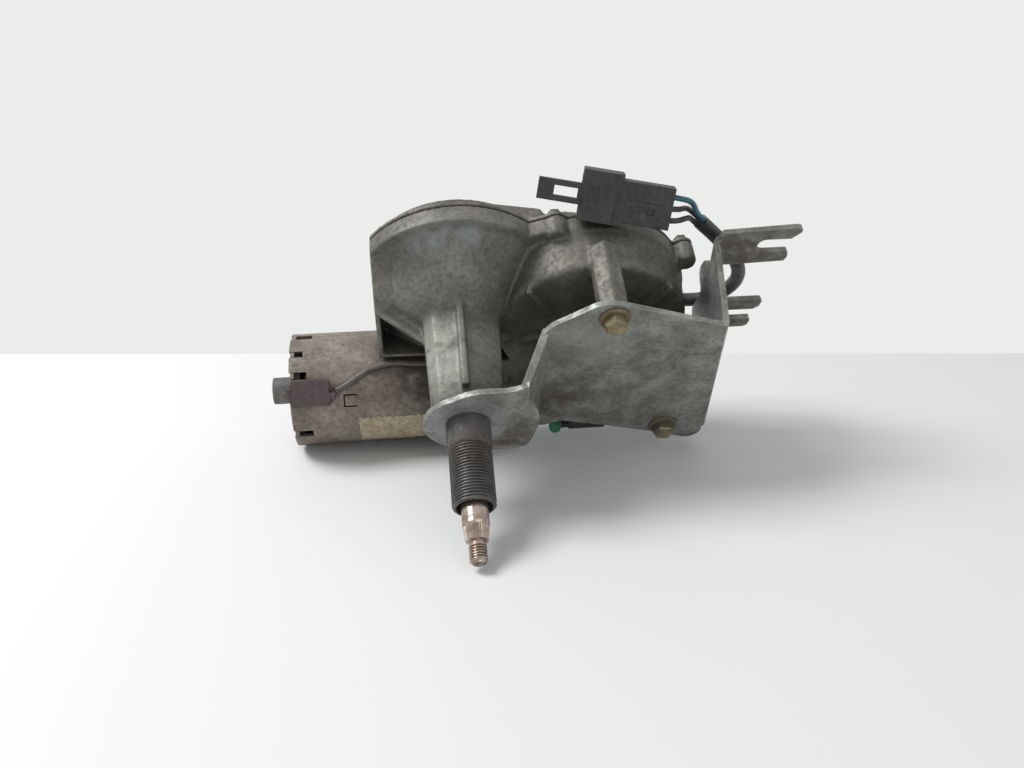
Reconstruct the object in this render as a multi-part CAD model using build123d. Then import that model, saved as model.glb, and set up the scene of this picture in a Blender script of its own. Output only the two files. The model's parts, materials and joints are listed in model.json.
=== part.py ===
"""Rear wiper motor: reversing gear motor with a steel bracket, threaded spindle sleeve and wiring tail.

All pieces are drawn in the machine frame: u runs along the motor shaft, v up across the bracket, w out
along the wiper spindle.  The origin is where the spindle axis crosses the outer face of the bracket's ear.
bench() then leans the whole motor back by LEAN, the way it lies on a flat bench.
"""
import os
from math import atan2, cos, degrees, hypot, pi, radians, sin, sqrt, tan

from build123d import *

os.makedirs("parts", exist_ok=True)

# ---- driving dimensions, mm -------------------------------------------------------------------------
LEAN = 35.0                                   # backward lean of the motor as it rests
RUN_FIT = 0.05                                # radial clearance of a running fit
GAP = 0.3                                     # ordinary clearance between moving pieces

SHEET = 2.6                                   # bracket sheet
STEP = 29.0                                   # joggle between the ear and the mounting plate
FORK_W = -77.0                                # outer face of the two fork tabs
BOLT_A, BOLT_B = (68.0, 36.4), (105.2, -57.3)
BOLT_R, BOLT_AF, BOLT_FLANGE_R = 3.0, 10.0, 7.3

SLEEVE_R, SLEEVE_END = 9.9, 42.8              # M20 x 1.5 sleeve thread
COLLAR_R, COLLAR_END = 10.35, 13.5            # plain collar at its root
SLEEVE_PRESS_R, SLEEVE_SEAT = 9.9, -16.0      # spigot pressed into the casting
SPINDLE_R, SPINDLE_TIP = 6.0, 69.0
THREAD_R = 4.0                                # M8 spindle thread
CLIP_W, CLIP_T = 37.6, 1.0                    # spindle circlip in the sleeve's mouth
WASHER_T, SEAL_T, BUSH_L = 1.0, 1.9, 10.0

RIM_FRONT, RIM_BACK = -79.0, -88.0            # flange band of the casting
GASKET = 0.6
COVER_T, COVER_TOP = 2.4, -100.0
WALL = 3.0

MOTOR_V, MOTOR_W = -62.0, -67.0               # motor and worm axis
CAN_R, CAN_T, CAN_L, CAN_RT = 30.0, 1.6, -88.0, -12.0
SHAFT_R = 4.0
MAGNET_T, AIR_GAP = 6.0, 0.8
CORE_R = CAN_R - CAN_T - MAGNET_T - AIR_GAP   # armature core runs inside the magnets

PAN_R = 51.5                                  # spindle lobe, round the spindle
LOBE_C, LOBE_R, LOBE_FACE = (66.3, -8.5), 50.0, -58.0
LOBE_BEVEL = 3.5                              # depth of the bevel round the lobe's front face
LEFT_CUT, CUT_END = -41.5, -3.0
LOW_CUT = MOTOR_V + CAN_R + 1.5               # the pan's lower edge clears the can

MODULE_W, WHEEL_Z, WORM_R = 1.5, 54, 7.0      # worm drive
WHEEL_R = MODULE_W * WHEEL_Z / 2
WHEEL_C = (66.3, MOTOR_V + WORM_R + WHEEL_R)
WHEEL_W0, WHEEL_W1 = -70.5, -63.5
ARBOR_R, ARBOR_END, BOSS_FACE = 4.0, -50.5, -53.0
HUB_TOP, PIN_SEAT = -82.0, -75.5                # crank hub above the wheel, seat of its pin
WORM_PITCH = pi * MODULE_W

MODULE_S, PINION_Z, SECTOR_Z = 1.25, 14, 26   # output gear pair
PINION_R, SECTOR_R = MODULE_S * PINION_Z / 2, MODULE_S * SECTOR_Z / 2
SECTOR_C = (0.0, PINION_R + SECTOR_R)
SECTOR_W0, SECTOR_W1 = -88.6, -84.6
ARM_R, ARM_DEG = 12.0, 45.0
ARM_PIN = (ARM_R * cos(radians(ARM_DEG)), SECTOR_C[1] + ARM_R * sin(radians(ARM_DEG)))
ROD_W0, ROD_W1 = -92.4, -89.4
CRANK_R = 5.9
OPEN_PIVOT_GAP = 0.35                         # crank pin stops this far below the rod

LOOM_R, WIRE_R, LEAD_R = 3.75, 1.35, 1.4


# ---- shape helpers ----------------------------------------------------------------------------------
LOW = (Align.CENTER, Align.CENTER, Align.MIN)


def rod_w(at, r, w0, w1):
    return Pos(at[0], at[1], w0) * Cylinder(r, w1 - w0, align=LOW)


def ring_w(at, r_out, r_in, w0, w1):
    return rod_w(at, r_out, w0, w1) - rod_w(at, r_in, w0 - 1, w1 + 1)


def cone_w(at, w0, r0, w1, r1):
    return Pos(at[0], at[1], w0) * Cone(r0, r1, w1 - w0, align=LOW)


def rod_u(r, u0, u1, v=MOTOR_V, w=MOTOR_W):
    return Pos(u0, v, w) * Rot(0, 90, 0) * Cylinder(r, u1 - u0, align=LOW)


def ring_u(r_out, r_in, u0, u1, v=MOTOR_V, w=MOTOR_W):
    return rod_u(r_out, u0, u1, v, w) - rod_u(r_in, u0 - 1, u1 + 1, v, w)


def block(u0, u1, v0, v1, w0, w1):
    return Pos((u0 + u1) / 2, (v0 + v1) / 2, (w0 + w1) / 2) * Box(u1 - u0, v1 - v0, w1 - w0)


def face_of(points, plane, corners=()):
    """Outline through the points; corners lists the (point, radius) pairs to round."""
    outline = make_face(Polyline(*points, close=True))
    for corner, radius in corners:
        outline = fillet(outline.vertices().sort_by_distance((*corner, 0))[:1], radius)
    return plane * outline


def plate_w(points, w0, w1, corners=()):
    return extrude(face_of(points, Plane((0, 0, w0), x_dir=(1, 0, 0), z_dir=(0, 0, 1)), corners), w1 - w0)


def plate_u(points, u0, u1):
    """Outline in (v, w), extruded along the motor axis."""
    return extrude(face_of(points, Plane((u0, 0, 0), x_dir=(0, 1, 0), z_dir=(1, 0, 0))), u1 - u0)


def plate_v(points, v0, v1):
    """Outline in (u, w), extruded across the bracket."""
    return extrude(face_of(points, Plane((0, v1, 0), x_dir=(1, 0, 0), z_dir=(0, -1, 0))), v1 - v0)


def polar(at, r, deg):
    return (at[0] + r * cos(radians(deg)), at[1] + r * sin(radians(deg)))


def on_can(deg, solid):
    """Turns a solid drawn at the +v side of the motor can round the can's axis, towards +w."""
    return Pos(0, MOTOR_V, MOTOR_W) * Rot(deg, 0, 0) * solid


def involute(base_r, t):
    return (base_r * (cos(t) + t * sin(t)), base_r * (sin(t) - t * cos(t)))


def gear_outline(module, teeth, count, mid_deg, root, tip, thin, centre=(0, 0), steps=4):
    """Involute teeth about centre; count teeth round the direction mid_deg; the arc of teeth only."""
    pitch_r = module * teeth / 2
    base = pitch_r * cos(radians(25))
    half = (pi * module / 2 - thin) / 2 / pitch_r + tan(radians(25)) - radians(25)
    points = []
    for k in range(count):
        middle = radians(mid_deg) + (k - (count - 1) / 2) * 2 * pi / teeth
        flank = []
        for i in range(steps + 1):
            r = max(root, base) + (tip - max(root, base)) * i / steps
            t = sqrt(max(0.0, (r / base) ** 2 - 1))
            roll = t - atan2(t, 1)
            flank.append((r, half - roll))
        if root < base:
            flank.insert(0, (root, flank[0][1]))
        for r, off in flank:
            points.append((centre[0] + r * cos(middle - off), centre[1] + r * sin(middle - off)))
        for r, off in reversed(flank):
            points.append((centre[0] + r * cos(middle + off), centre[1] + r * sin(middle + off)))
    return points


def cord_tube(points, r, name):
    """Round cord along straight runs joined by tangent arcs as large as the runs allow."""
    spots = [Vector(*p) for p in points]
    radii = []
    for a, b, c in zip(spots, spots[1:], spots[2:]):
        turn = radians((b - a).get_angle(c - b))
        radii.append(round(0.45 * min((b - a).length, (c - b).length) / tan(turn / 2), 2))
    print("cord", name, "radius", r, "bend radii", radii)
    path = FilletPolyline(*spots, radius=radii) if radii else Line(*spots)
    print("  length", round(path.length, 1))
    start = Plane(spots[0], z_dir=(spots[1] - spots[0]).normalized())
    return sweep(start * Circle(r), path=path)


MADE = {}


def bench(name, solid):
    MADE[name] = solid
    export_step(Location((0, 0, 0), (90 + LEAN, 0, 0)) * solid, f"parts/{name}.step")


# ---- bracket: ear round the sleeve, joggled web, mounting plate, side flange and two forked tabs ------
EAR_R, EAR_WIDE_R, EAR_SHIFT = 20.4, 24.5, 8.5
SEAT_RING_R, SEAT_RING_T = 18.5, 0.8
SEAT_HOLE_R = SLEEVE_PRESS_R + 0.1             # the collar seats on the ring round this hole
ear = rod_w((0, 0), EAR_R, -SHEET, 0) + rod_w((EAR_SHIFT, 0), EAR_WIDE_R, -SHEET, 0)
ear += plate_w([(-2, 20.3), (6.5, 24.4), (17.0, 24.3), (22.0, 25.4), (26.9, 28.2), (26.9, -20.5), (23.5, -24.1),
                (18.5, -24.5), (8.5, -24.5), (-2, -20.3)], -SHEET, 0)
web = plate_v([(24.4, 0), (26.4, 0), (38.8, -STEP), (38.8, -STEP - SHEET), (36.2, -STEP - SHEET),
               (23.8, -SHEET)], -55, 30)
web &= plate_u([(28.2, 1), (26.6, -5), (27.8, -STEP), (27.8, -33), (-51.0, -33), (-51.0, -STEP), (-43.0, -16),
                (-32.0, -6), (-26.0, -3), (-20.5, 1)], 20, 45)
PLATE_CORNERS = [((40.0, 32.1), 8.0), ((59.6, 45.4), 8.0), ((67.7, 46.2), 8.0), ((128.4, -75.4), 7.0)]
plate = plate_w([(37.0, 27.8), (40.0, 32.1), (59.6, 45.4), (67.7, 46.2), (121.0, 26.2), (128.4, -75.4),
                 (100.0, -63.9), (73.0, -54.5), (49.8, -47.6), (42.2, -51.0), (37.0, -51.0)],
                -STEP - SHEET, -STEP, PLATE_CORNERS)
BEND = Pos(121.4, 26.0, 0) * Rot(0, 0, 4.04)              # frame of the right-hand bend line
FOLD = FORK_W - SHEET                         # back face of the forked tabs
APRON = FORK_W - 14.0                         # deepest the flange reaches between the tabs
flange = plate_v([(-3.0, -STEP), (0.6, -STEP), (2.2, -STEP - 2.2), (5.6, FORK_W + 7.0), (5.6, APRON),
                  (5.6 - SHEET, APRON), (5.6 - SHEET, FORK_W + 7.0), (-0.4, -STEP - SHEET - 1.8),
                  (-1.4, -STEP - SHEET), (-3.0, -STEP - SHEET)], -90, 10)
flange &= plate_u([(0.0, -20), (0.4, -STEP - 3), (6.6, FORK_W + 5), (6.6, FOLD), (-12.8, FOLD),
                   (-16.0, FOLD - 3.6), (-23.0, FOLD - 6.7), (-27.0, FOLD - 7.7), (-30.0, FOLD - 7.2),
                   (-32.6, FOLD - 5.0), (-34.0, FOLD - 1.6), (-36.4, FOLD - 0.2), (-42.0, FOLD - 1.4),
                   (-52.0, FOLD - 5.4), (-60.0, FOLD - 8.2), (-65.0, FOLD - 6.0), (-67.0, FOLD + 4),
                   (-88.0, -STEP - 7), (-88.0, -20)], -10, 10)
FOLD_R = 6.0                                  # outer radius of the fold behind the upper tab
fold_line = Pos(5.6 - SHEET + FOLD_R, 0, FOLD + FOLD_R) * Rot(90, 0, 0)
flange = BEND * flange
SLOT_A, SLOT_A_R = (151.8, 26.4), 4.2
SLOT_B, SLOT_B_R = (141.5, -27.2), 3.65


def tab(slot, r, offsets):
    """Forked tab round an open slot; the outline is given from the slot's closed end."""
    piece = plate_w([(slot[0] + du, slot[1] + dv) for du, dv in offsets], FOLD, FORK_W)
    piece -= rod_w(slot, r, FOLD - 1, FORK_W + 1)
    return piece - block(slot[0], slot[0] + 40, slot[1] - r, slot[1] + r, FOLD - 1, FORK_W + 1)


tab_a = tab(SLOT_A, SLOT_A_R, [(-26.4, -13.0), (-25.6, 5.8), (-22.6, 10.0), (13.8, 12.0), (15.6, 11.4),
                               (16.4, 9.6), (15.9, 8.2), (12.5, 4.8), (11.2, -0.4), (11.8, -4.0),
                               (12.9, -6.0), (13.3, -9.0), (12.4, -11.7), (-9.9, -12.7)])
tab_b = tab(SLOT_B, SLOT_B_R, [(-13.6, 12.0), (18.3, 11.8), (19.7, 9.8), (18.9, 5.8), (15.5, 3.2),
                               (15.5, -2.8), (16.8, -6.2), (16.1, -9.8), (14.3, -11.2), (-12.5, -11.4)])
bracket = ear + web + plate + flange + tab_a + tab_b
bracket -= BEND * (block(-9, 5.6 - SHEET + FOLD_R, -12.8, 10, FOLD - 1, FOLD + FOLD_R)
                   - fold_line * Cylinder(FOLD_R, 60))
bracket += BEND * (block(5.5, 5.6 - SHEET + FOLD_R, -12.8, 6.4, FORK_W - 0.1, FOLD + FOLD_R)
                   - fold_line * Cylinder(FOLD_R - SHEET, 60))
bracket -= rod_w((0, 0), SEAT_HOLE_R, -9, 9) + rod_w((0, 0), SEAT_RING_R + 0.02, -SEAT_RING_T, 9)
for spot in (BOLT_A, BOLT_B):
    bracket -= rod_w(spot, BOLT_R + 0.3, -40, -20)
bench("bracket", bracket)

bench("sleeve_seat_ring", ring_w((0, 0), SEAT_RING_R, SEAT_HOLE_R, -SEAT_RING_T, 0))


# ---- gear case casting -------------------------------------------------------------------------------
def rim_outline(grow, w0, w1):
    """Flange shape shared by casting, gasket and cover; grow is measured outwards."""
    pan = rod_w((0, 0), PAN_R + grow, w0, w1) - block(-90, LEFT_CUT - grow, -90, 90, w0 - 1, w1 + 1)
    pan -= block(-90, CUT_END - grow, -90, LOW_CUT - grow, w0 - 1, w1 + 1)
    return pan + rod_w(LOBE_C, LOBE_R + grow, w0, w1)


def flange_ears(r, w0, w1):
    """Screw ears of the flange band with the web beside the first one."""
    piece = plate_w(EAR_WEB, w0, w1)
    for spot in EARS:
        piece += rod_w(spot, r, w0, w1)
    return piece


def inner_bosses(w0, w1):
    """Bosses left standing in a hollow round the inner screws."""
    return [rod_w(spot, BOSS_IN, w0, w1) for spot in INNER_SCREWS]


INNER_BUSH_R, OUTER_BUSH_R = SPINDLE_R + 2.0, SPINDLE_R + 1.6
EARS = [(48.0, 37.5), (114.0, 15.5), (114.5, -33.6), (31.5, -46.5)]   # cover screw ears
CORNER_SCREWS = [(LEFT_CUT + 5.9, LOW_CUT + 5.9)]
EAR_BOSS_R, EAR_NOSE_R, EAR_NOSE = 5.3, 3.5, 7.0   # bosses taper to a nose in front of the flange band
EAR_WEB = [(33.0, 37.5), (44.6, 41.2), (48.0, 33.0), (37.0, 30.0)]     # fills the valley beside the first ear
INNER_SCREWS = CORNER_SCREWS + EARS[:1]       # screws whose bosses reach in over the hollow
BOSS_IN, POCKET_R = 5.0, 6.0
WORM_END = 108.0
TUNNEL_R, TUNNEL_BORE = 13.0, 10.2
POST_AF = 13.2

case = rim_outline(0, RIM_BACK, RIM_FRONT)
cone = cone_w((0, 0), RIM_FRONT, 45.5, -53.0, 17.2) - block(-90, LEFT_CUT, -90, 90, -90, -40)
cone -= block(-90, CUT_END, -90, LOW_CUT, -90, -40)
case += cone
tower = loft([
    face_of([(-18.4, -10), (-18.4, 9.5), (-13.8, 15.2), (-1.0, 17.4), (1.6, 17.4), (19.0, 8.5), (19.0, -10),
             (11, -17), (-11, -17)], Plane((0, 0, -60), x_dir=(1, 0, 0), z_dir=(0, 0, 1))),
    face_of([(-15.8, -9), (-15.8, 8.2), (-12.4, 13.4), (-1.0, 15.6), (1.6, 15.6), (17.2, 7.5), (17.2, -9),
             (10, -15.5), (-10, -15.5)], Plane((0, 0, -SHEET), x_dir=(1, 0, 0), z_dir=(0, 0, 1)))], ruled=True)
case += tower
case += plate_w([(-2.0, 12.0), (-2.0, 20.5), (1.4, 20.5), (1.4, 12.0)], -66, -9)              # ridge rib
case += plate_u([(27, RIM_FRONT), (27, -77.4), (3, -66), (3, RIM_FRONT)], LEFT_CUT, -14)       # sloped shoulder
case += plate_u([(27, RIM_FRONT), (27, -77.4), (3, -66), (-28, -62.0), (LOW_CUT, -62.0),
                 (LOW_CUT, RIM_FRONT)], LEFT_CUT, LEFT_CUT + 2.6)                              # left wall
case += plate_v([(LEFT_CUT, RIM_FRONT), (LEFT_CUT, -66), (-19, -46.5), (-14, -45), (-14, RIM_FRONT)], 0.4, 3.0)
case += plate_v([(LEFT_CUT, RIM_FRONT), (LEFT_CUT, -62.0), (-12, -61.4), (-12, RIM_FRONT)], LOW_CUT, LOW_CUT + 2.5)
BEVEL_W = LOBE_FACE - LOBE_BEVEL
case += cone_w(LOBE_C, RIM_FRONT, LOBE_R - 0.8, BEVEL_W, LOBE_R - 2.6)
case += cone_w(LOBE_C, BEVEL_W, LOBE_R - 2.6, LOBE_FACE, LOBE_R - 6.4)
case += block(-5, 100, -66, -36, -79.5, -60)                                                   # worm box
case += rod_u(TUNNEL_R, CAN_RT + 1, WORM_END)
case += rod_u(CAN_R + 1.6, CAN_RT, CAN_RT + 7)                                                        # motor flange
case += rod_w(WHEEL_C, 9.0, LOBE_FACE - 2, BOSS_FACE)                                          # arbor boss
HEX = POST_AF / sqrt(3)
post_a = [polar(BOLT_A, HEX, 30 + 60 * k) for k in range(6)]
post_b = [polar(BOLT_B, HEX, 30 + 60 * k) for k in range(6)]
case += plate_w(post_a, -70, -STEP - SHEET) + plate_w(post_b, -62, -STEP - SHEET)
case += flange_ears(EAR_BOSS_R, RIM_BACK, RIM_FRONT)
for spot in EARS:
    case += cone_w(spot, RIM_FRONT, EAR_BOSS_R, RIM_FRONT + EAR_NOSE, EAR_NOSE_R)
RIB_IN, RIB_OUT = 10.0, LOBE_R - 5.5
for deg in (20, 66, 148, 190, 330):                                                            # face ribs
    middle, length = polar(LOBE_C, (RIB_IN + RIB_OUT) / 2, deg), RIB_OUT - RIB_IN
    case += Pos(*middle, LOBE_FACE + 0.4) * Rot(0, 0, deg) * Box(length, 2.6, 3.6)

# hollows
inner = rim_outline(-WALL, RIM_BACK - 1, RIM_FRONT - 2.5)
for boss in inner_bosses(RIM_BACK - 2, RIM_FRONT):
    inner -= boss
case -= inner
inner_cone = cone_w((0, 0), RIM_FRONT - 2.6, 41.0, -60.0, 15.0)
inner_cone -= block(-90, LEFT_CUT + WALL, -90, 90, -90, -40) + block(-90, 0, -90, LOW_CUT + WALL, -90, -40)
inner_cone -= rod_w(SECTOR_C, 6.0, -90, -50)
case -= inner_cone
case -= rod_w(LOBE_C, LOBE_R - 5.4, RIM_FRONT - 2.6, LOBE_FACE - WALL) - rod_w(WHEEL_C, 8.0, WHEEL_W1 + 0.5, -50)
case -= rod_w(WHEEL_C, WHEEL_R + 2.4, RIM_FRONT - 2.6, WHEEL_W1 + 1.3) - rod_w(WHEEL_C, 8.0, WHEEL_W1 + 0.5, -50)
case -= block(14, 42, -25, 16, RIM_FRONT - 2.6, -70)
case -= rod_u(TUNNEL_BORE, 2, 90)
case -= rod_u(7.0, -6, 98) + rod_u(4.6, CAN_RT - 1, 99.5) + rod_u(6.0, 99.5, WORM_END + 1)
case -= rod_u(CAN_R - CAN_T - 1.9, CAN_RT - 1, CAN_RT + 3)
case -= rod_w((0, 0), SPINDLE_R + 1.0, -62, -10) + rod_w((0, 0), SLEEVE_PRESS_R, SLEEVE_SEAT, 5)
case -= rod_w((0, 0), INNER_BUSH_R, -62, -62 + BUSH_L)
for spot in (BOLT_A, BOLT_B):
    case -= rod_w(spot, BOLT_R - 0.3, -50, -20)
for spot in EARS + CORNER_SCREWS:
    case -= rod_w(spot, 1.9, RIM_BACK - 1, RIM_BACK + 7.5)
case -= rod_w(SECTOR_C, 3.0, -90, -75) + rod_w(WHEEL_C, ARBOR_R + RUN_FIT, -80, -50)
bench("gear_case", case)

# ---- gasket, cover and its screws ---------------------------------------------------------------------
gasket = rim_outline(-0.2, RIM_BACK - GASKET, RIM_BACK)
gasket += flange_ears(EAR_BOSS_R - 0.2, RIM_BACK - GASKET, RIM_BACK)
hollow = rim_outline(-WALL, RIM_BACK - 5, RIM_BACK + 5)
for boss in inner_bosses(RIM_BACK - 6, RIM_BACK + 6):
    hollow -= boss
gasket -= hollow
for spot in EARS + CORNER_SCREWS:
    gasket -= rod_w(spot, 2.3, RIM_BACK - 3, RIM_BACK + 3)
bench("cover_gasket", gasket)

COVER_W1 = RIM_BACK - GASKET
DOME_R, DOME_LOBE_R = 45.0, 40.0


def dome(shrink, w0, w1):
    left = rod_w((0, 0), DOME_R - shrink, w0, w1) - block(-90, LEFT_CUT + 5.5 + shrink, -90, 90, w0 - 1, w1 + 1)
    left -= block(-90, 2 + shrink, -90, LOW_CUT + 4.5 + shrink, w0 - 1, w1 + 1)
    right = rod_w(LOBE_C, DOME_LOBE_R - shrink, w0, w1)
    bridge = plate_w([(6, 43.5 - shrink), (LOBE_C[0], LOBE_C[1] + DOME_LOBE_R - shrink), (LOBE_C[0], -44 + shrink),
                      (12, -40.3 + shrink)], w0, w1)
    whole = left + right + bridge
    for spot in INNER_SCREWS:
        whole -= rod_w(spot, POCKET_R + shrink, w0 - 1, w1 + 1)
    return whole


cover = rim_outline(0, COVER_W1 - COVER_T, COVER_W1)
cover += flange_ears(EAR_BOSS_R, COVER_W1 - COVER_T, COVER_W1)
cover += dome(0, COVER_TOP + 1.2, COVER_W1 - COVER_T) + dome(1.6, COVER_TOP, COVER_TOP + 1.2)
cover -= dome(2.6, COVER_TOP + 2.4, COVER_W1 + 1)
for spot in EARS + CORNER_SCREWS:
    cover -= rod_w(spot, 2.3, COVER_TOP, COVER_W1 + 1)
OUTLET = (79.0, -31.0)
cover -= block(OUTLET[0] - 7, OUTLET[0] + 7, OUTLET[1] - 6, OUTLET[1] + 6, COVER_TOP - 1, COVER_TOP + 4)
bench("case_cover", cover)

SCREW_AF, SCREW_HEX, SCREW_FLANGE = 6.0, 1.9, 1.0
screws = []
for spot in EARS + CORNER_SCREWS:
    head = COVER_W1 - COVER_T
    hexagon = [polar(spot, SCREW_AF / sqrt(3), 60 * k) for k in range(6)]
    screws.append(rod_w(spot, 1.9, head - 0.1, RIM_BACK + 7) + rod_w(spot, 4.0, head - SCREW_FLANGE, head)
                  + plate_w(hexagon, head - SCREW_FLANGE - SCREW_HEX, head - SCREW_FLANGE + 0.1))
bench("cover_screws", Compound(screws))

# ---- spindle sleeve, bushes and seal -------------------------------------------------------------------
sleeve = rod_w((0, 0), SLEEVE_PRESS_R, SLEEVE_SEAT, 0) + rod_w((0, 0), COLLAR_R, 0, COLLAR_END)
sleeve += cone_w((0, 0), COLLAR_END, COLLAR_R, COLLAR_END + 1.0, SLEEVE_R)
sleeve += rod_w((0, 0), SLEEVE_R, COLLAR_END + 1.0, SLEEVE_END - 1.2)
sleeve += cone_w((0, 0), SLEEVE_END - 1.2, SLEEVE_R, SLEEVE_END, SLEEVE_R - 1.0)
WASHER_W = CLIP_W - 0.4 - WASHER_T              # washer, seal and bush stack up behind the clip
SEAL_W = WASHER_W - 0.2 - SEAL_T
BUSH_W = SEAL_W - 0.1 - BUSH_L
sleeve -= rod_w((0, 0), SPINDLE_R + 0.6, SLEEVE_SEAT - 9, SLEEVE_END + 9)
sleeve -= rod_w((0, 0), OUTER_BUSH_R, BUSH_W, SEAL_W + SEAL_T + 0.1)
sleeve -= rod_w((0, 0), SPINDLE_R + 2.2, SEAL_W + SEAL_T, SLEEVE_END + 9)
bench("threaded_sleeve", sleeve)
bench("spindle_bush_outer", ring_w((0, 0), OUTER_BUSH_R, SPINDLE_R + RUN_FIT, BUSH_W, BUSH_W + BUSH_L))
bench("spindle_bush_inner", ring_w((0, 0), INNER_BUSH_R, SPINDLE_R + RUN_FIT, -62.0, -62.0 + BUSH_L))
bench("spindle_seal", ring_w((0, 0), OUTER_BUSH_R - RUN_FIT, SPINDLE_R + 0.02, SEAL_W, SEAL_W + SEAL_T))
bench("spindle_washer", ring_w((0, 0), SPINDLE_R + 2.0, SPINDLE_R + 0.2, WASHER_W, WASHER_W + WASHER_T))
bench("spindle_circlip", ring_w((0, 0), SPINDLE_R + 1.8, SPINDLE_R - 0.6, CLIP_W, CLIP_W + CLIP_T)
      - block(-1.6, 1.6, 3, 10, CLIP_W - 1, CLIP_W + 2))

# ---- output shaft, pinion and toothed sector -------------------------------------------------------------
KNURL_0, KNURL_1 = SPINDLE_TIP - 16.8, SPINDLE_TIP - 10.4   # knurled cone for the wiper arm
NECK_1 = KNURL_1 + 1.8
PINION_BORE = 5.0
spindle = rod_w((0, 0), SPINDLE_R, -80.0, KNURL_0 - 1.2) + rod_w((0, 0), PINION_BORE, -92.0, -80.0)
spindle -= ring_w((0, 0), SPINDLE_R + 1.0, SPINDLE_R - 0.65, CLIP_W - 0.05, CLIP_W + CLIP_T + 0.05)
spindle += cone_w((0, 0), KNURL_0 - 1.2, SPINDLE_R, KNURL_0, SPINDLE_R - 0.3)
spindle += cone_w((0, 0), KNURL_0, SPINDLE_R - 0.3, KNURL_1, SPINDLE_R - 1.0)
spindle += rod_w((0, 0), THREAD_R - 0.7, KNURL_1, NECK_1)
spindle += rod_w((0, 0), THREAD_R - 0.1, NECK_1, SPINDLE_TIP - 0.8)
spindle += cone_w((0, 0), SPINDLE_TIP - 0.8, THREAD_R - 0.1, SPINDLE_TIP, THREAD_R - 0.9)
bench("output_shaft", spindle)

TOOTH_THIN = 0.34
pinion = plate_w(gear_outline(MODULE_S, PINION_Z, PINION_Z, 90, PINION_R - 1.25 * MODULE_S,
                              PINION_R + 0.95 * MODULE_S, TOOTH_THIN), SECTOR_W0 - 0.6, SECTOR_W1 + 0.6)
pinion -= rod_w((0, 0), PINION_BORE, -99, -70)
bench("output_pinion", pinion)

TEETH_CUT = 9
root_r, tip_r = SECTOR_R - 1.25 * MODULE_S, SECTOR_R + 0.95 * MODULE_S
teeth = gear_outline(MODULE_S, SECTOR_Z, TEETH_CUT, -90, root_r, tip_r, TOOTH_THIN, SECTOR_C)
sector = plate_w(teeth + [SECTOR_C], SECTOR_W0, SECTOR_W1)
sector += rod_w(SECTOR_C, 6.4, SECTOR_W0, SECTOR_W1)
arm_side = (-sin(radians(ARM_DEG)), cos(radians(ARM_DEG)))
sector += plate_w([(SECTOR_C[0] + arm_side[0] * 6, SECTOR_C[1] + arm_side[1] * 6),
                   (SECTOR_C[0] - arm_side[0] * 6, SECTOR_C[1] - arm_side[1] * 6),
                   (ARM_PIN[0] - arm_side[0] * 4.3, ARM_PIN[1] - arm_side[1] * 4.3),
                   (ARM_PIN[0] + arm_side[0] * 4.3, ARM_PIN[1] + arm_side[1] * 4.3)], SECTOR_W0, SECTOR_W1)
sector += rod_w(ARM_PIN, 4.4, SECTOR_W0, SECTOR_W1)
sector -= rod_w(SECTOR_C, 3.0 + RUN_FIT, -99, -70) + rod_w(ARM_PIN, 2.4, -99, -70)
bench("sector_gear", sector)
bench("sector_spacer", ring_w(SECTOR_C, 5.0, 3.02, SECTOR_W1 + GAP, RIM_FRONT - 2.5))
bench("sector_pin", rod_w(SECTOR_C, 3.0, SECTOR_W0 - 0.9, -76.0))
bench("sector_clip", ring_w(SECTOR_C, 5.0, 3.0, SECTOR_W0 - 0.8, SECTOR_W0 - 0.15))
bench("arm_rivet", rod_w(ARM_PIN, 2.4, ROD_W0 - 0.2, SECTOR_W1) + rod_w(ARM_PIN, 3.8, ROD_W0 - 1.4, ROD_W0 - 0.15))

# ---- connecting rod -----------------------------------------------------------------------------------------
CRANK_PIN = polar(WHEEL_C, CRANK_R, -140)
span = hypot(CRANK_PIN[0] - ARM_PIN[0], CRANK_PIN[1] - ARM_PIN[1])
along = degrees(atan2(CRANK_PIN[1] - ARM_PIN[1], CRANK_PIN[0] - ARM_PIN[0]))
rod = rod_w(ARM_PIN, 4.4, ROD_W0, ROD_W1) + rod_w(CRANK_PIN, 6.2, ROD_W0, ROD_W1)
rod += (Pos((ARM_PIN[0] + CRANK_PIN[0]) / 2, (ARM_PIN[1] + CRANK_PIN[1]) / 2, (ROD_W0 + ROD_W1) / 2)
        * Rot(0, 0, along) * Box(span, 6.4, ROD_W1 - ROD_W0))
rod -= rod_w(ARM_PIN, 2.4 + RUN_FIT, -99, -80) + rod_w(CRANK_PIN, 3.05, -99, -80)
bench("connecting_rod", rod)

# ---- worm wheel with crank hub -----------------------------------------------------------------------------
wheel_teeth = []
for k in range(WHEEL_Z):
    middle = -90 + (k + 0.5) * 360 / WHEEL_Z
    for r, off in ((38.8, 1.88), (WHEEL_R + 1.3, 0.88), (WHEEL_R + 1.3, -0.88), (38.8, -1.88)):
        wheel_teeth.append(polar(WHEEL_C, r, middle - off))
wheel = plate_w(wheel_teeth, WHEEL_W0, WHEEL_W1)
wheel -= ring_w(WHEEL_C, 33.0, 13.0, WHEEL_W1 - 1.6, WHEEL_W1 + 1)
wheel += rod_w(WHEEL_C, 13.0, HUB_TOP, WHEEL_W0)
wheel -= rod_w(WHEEL_C, ARBOR_R, PIN_SEAT + 1.5, -50)
wheel -= rod_w(CRANK_PIN, 3.0, -90, PIN_SEAT)
wheel -= ring_w(WHEEL_C, 36.5, 18.5, WHEEL_W0 - 1, WHEEL_W0 + 0.8)
bench("worm_wheel", wheel)
CRANK_TOP = ROD_W1 + OPEN_PIVOT_GAP
bench("crank_pin", rod_w(CRANK_PIN, 3.0, CRANK_TOP, PIN_SEAT))
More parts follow.
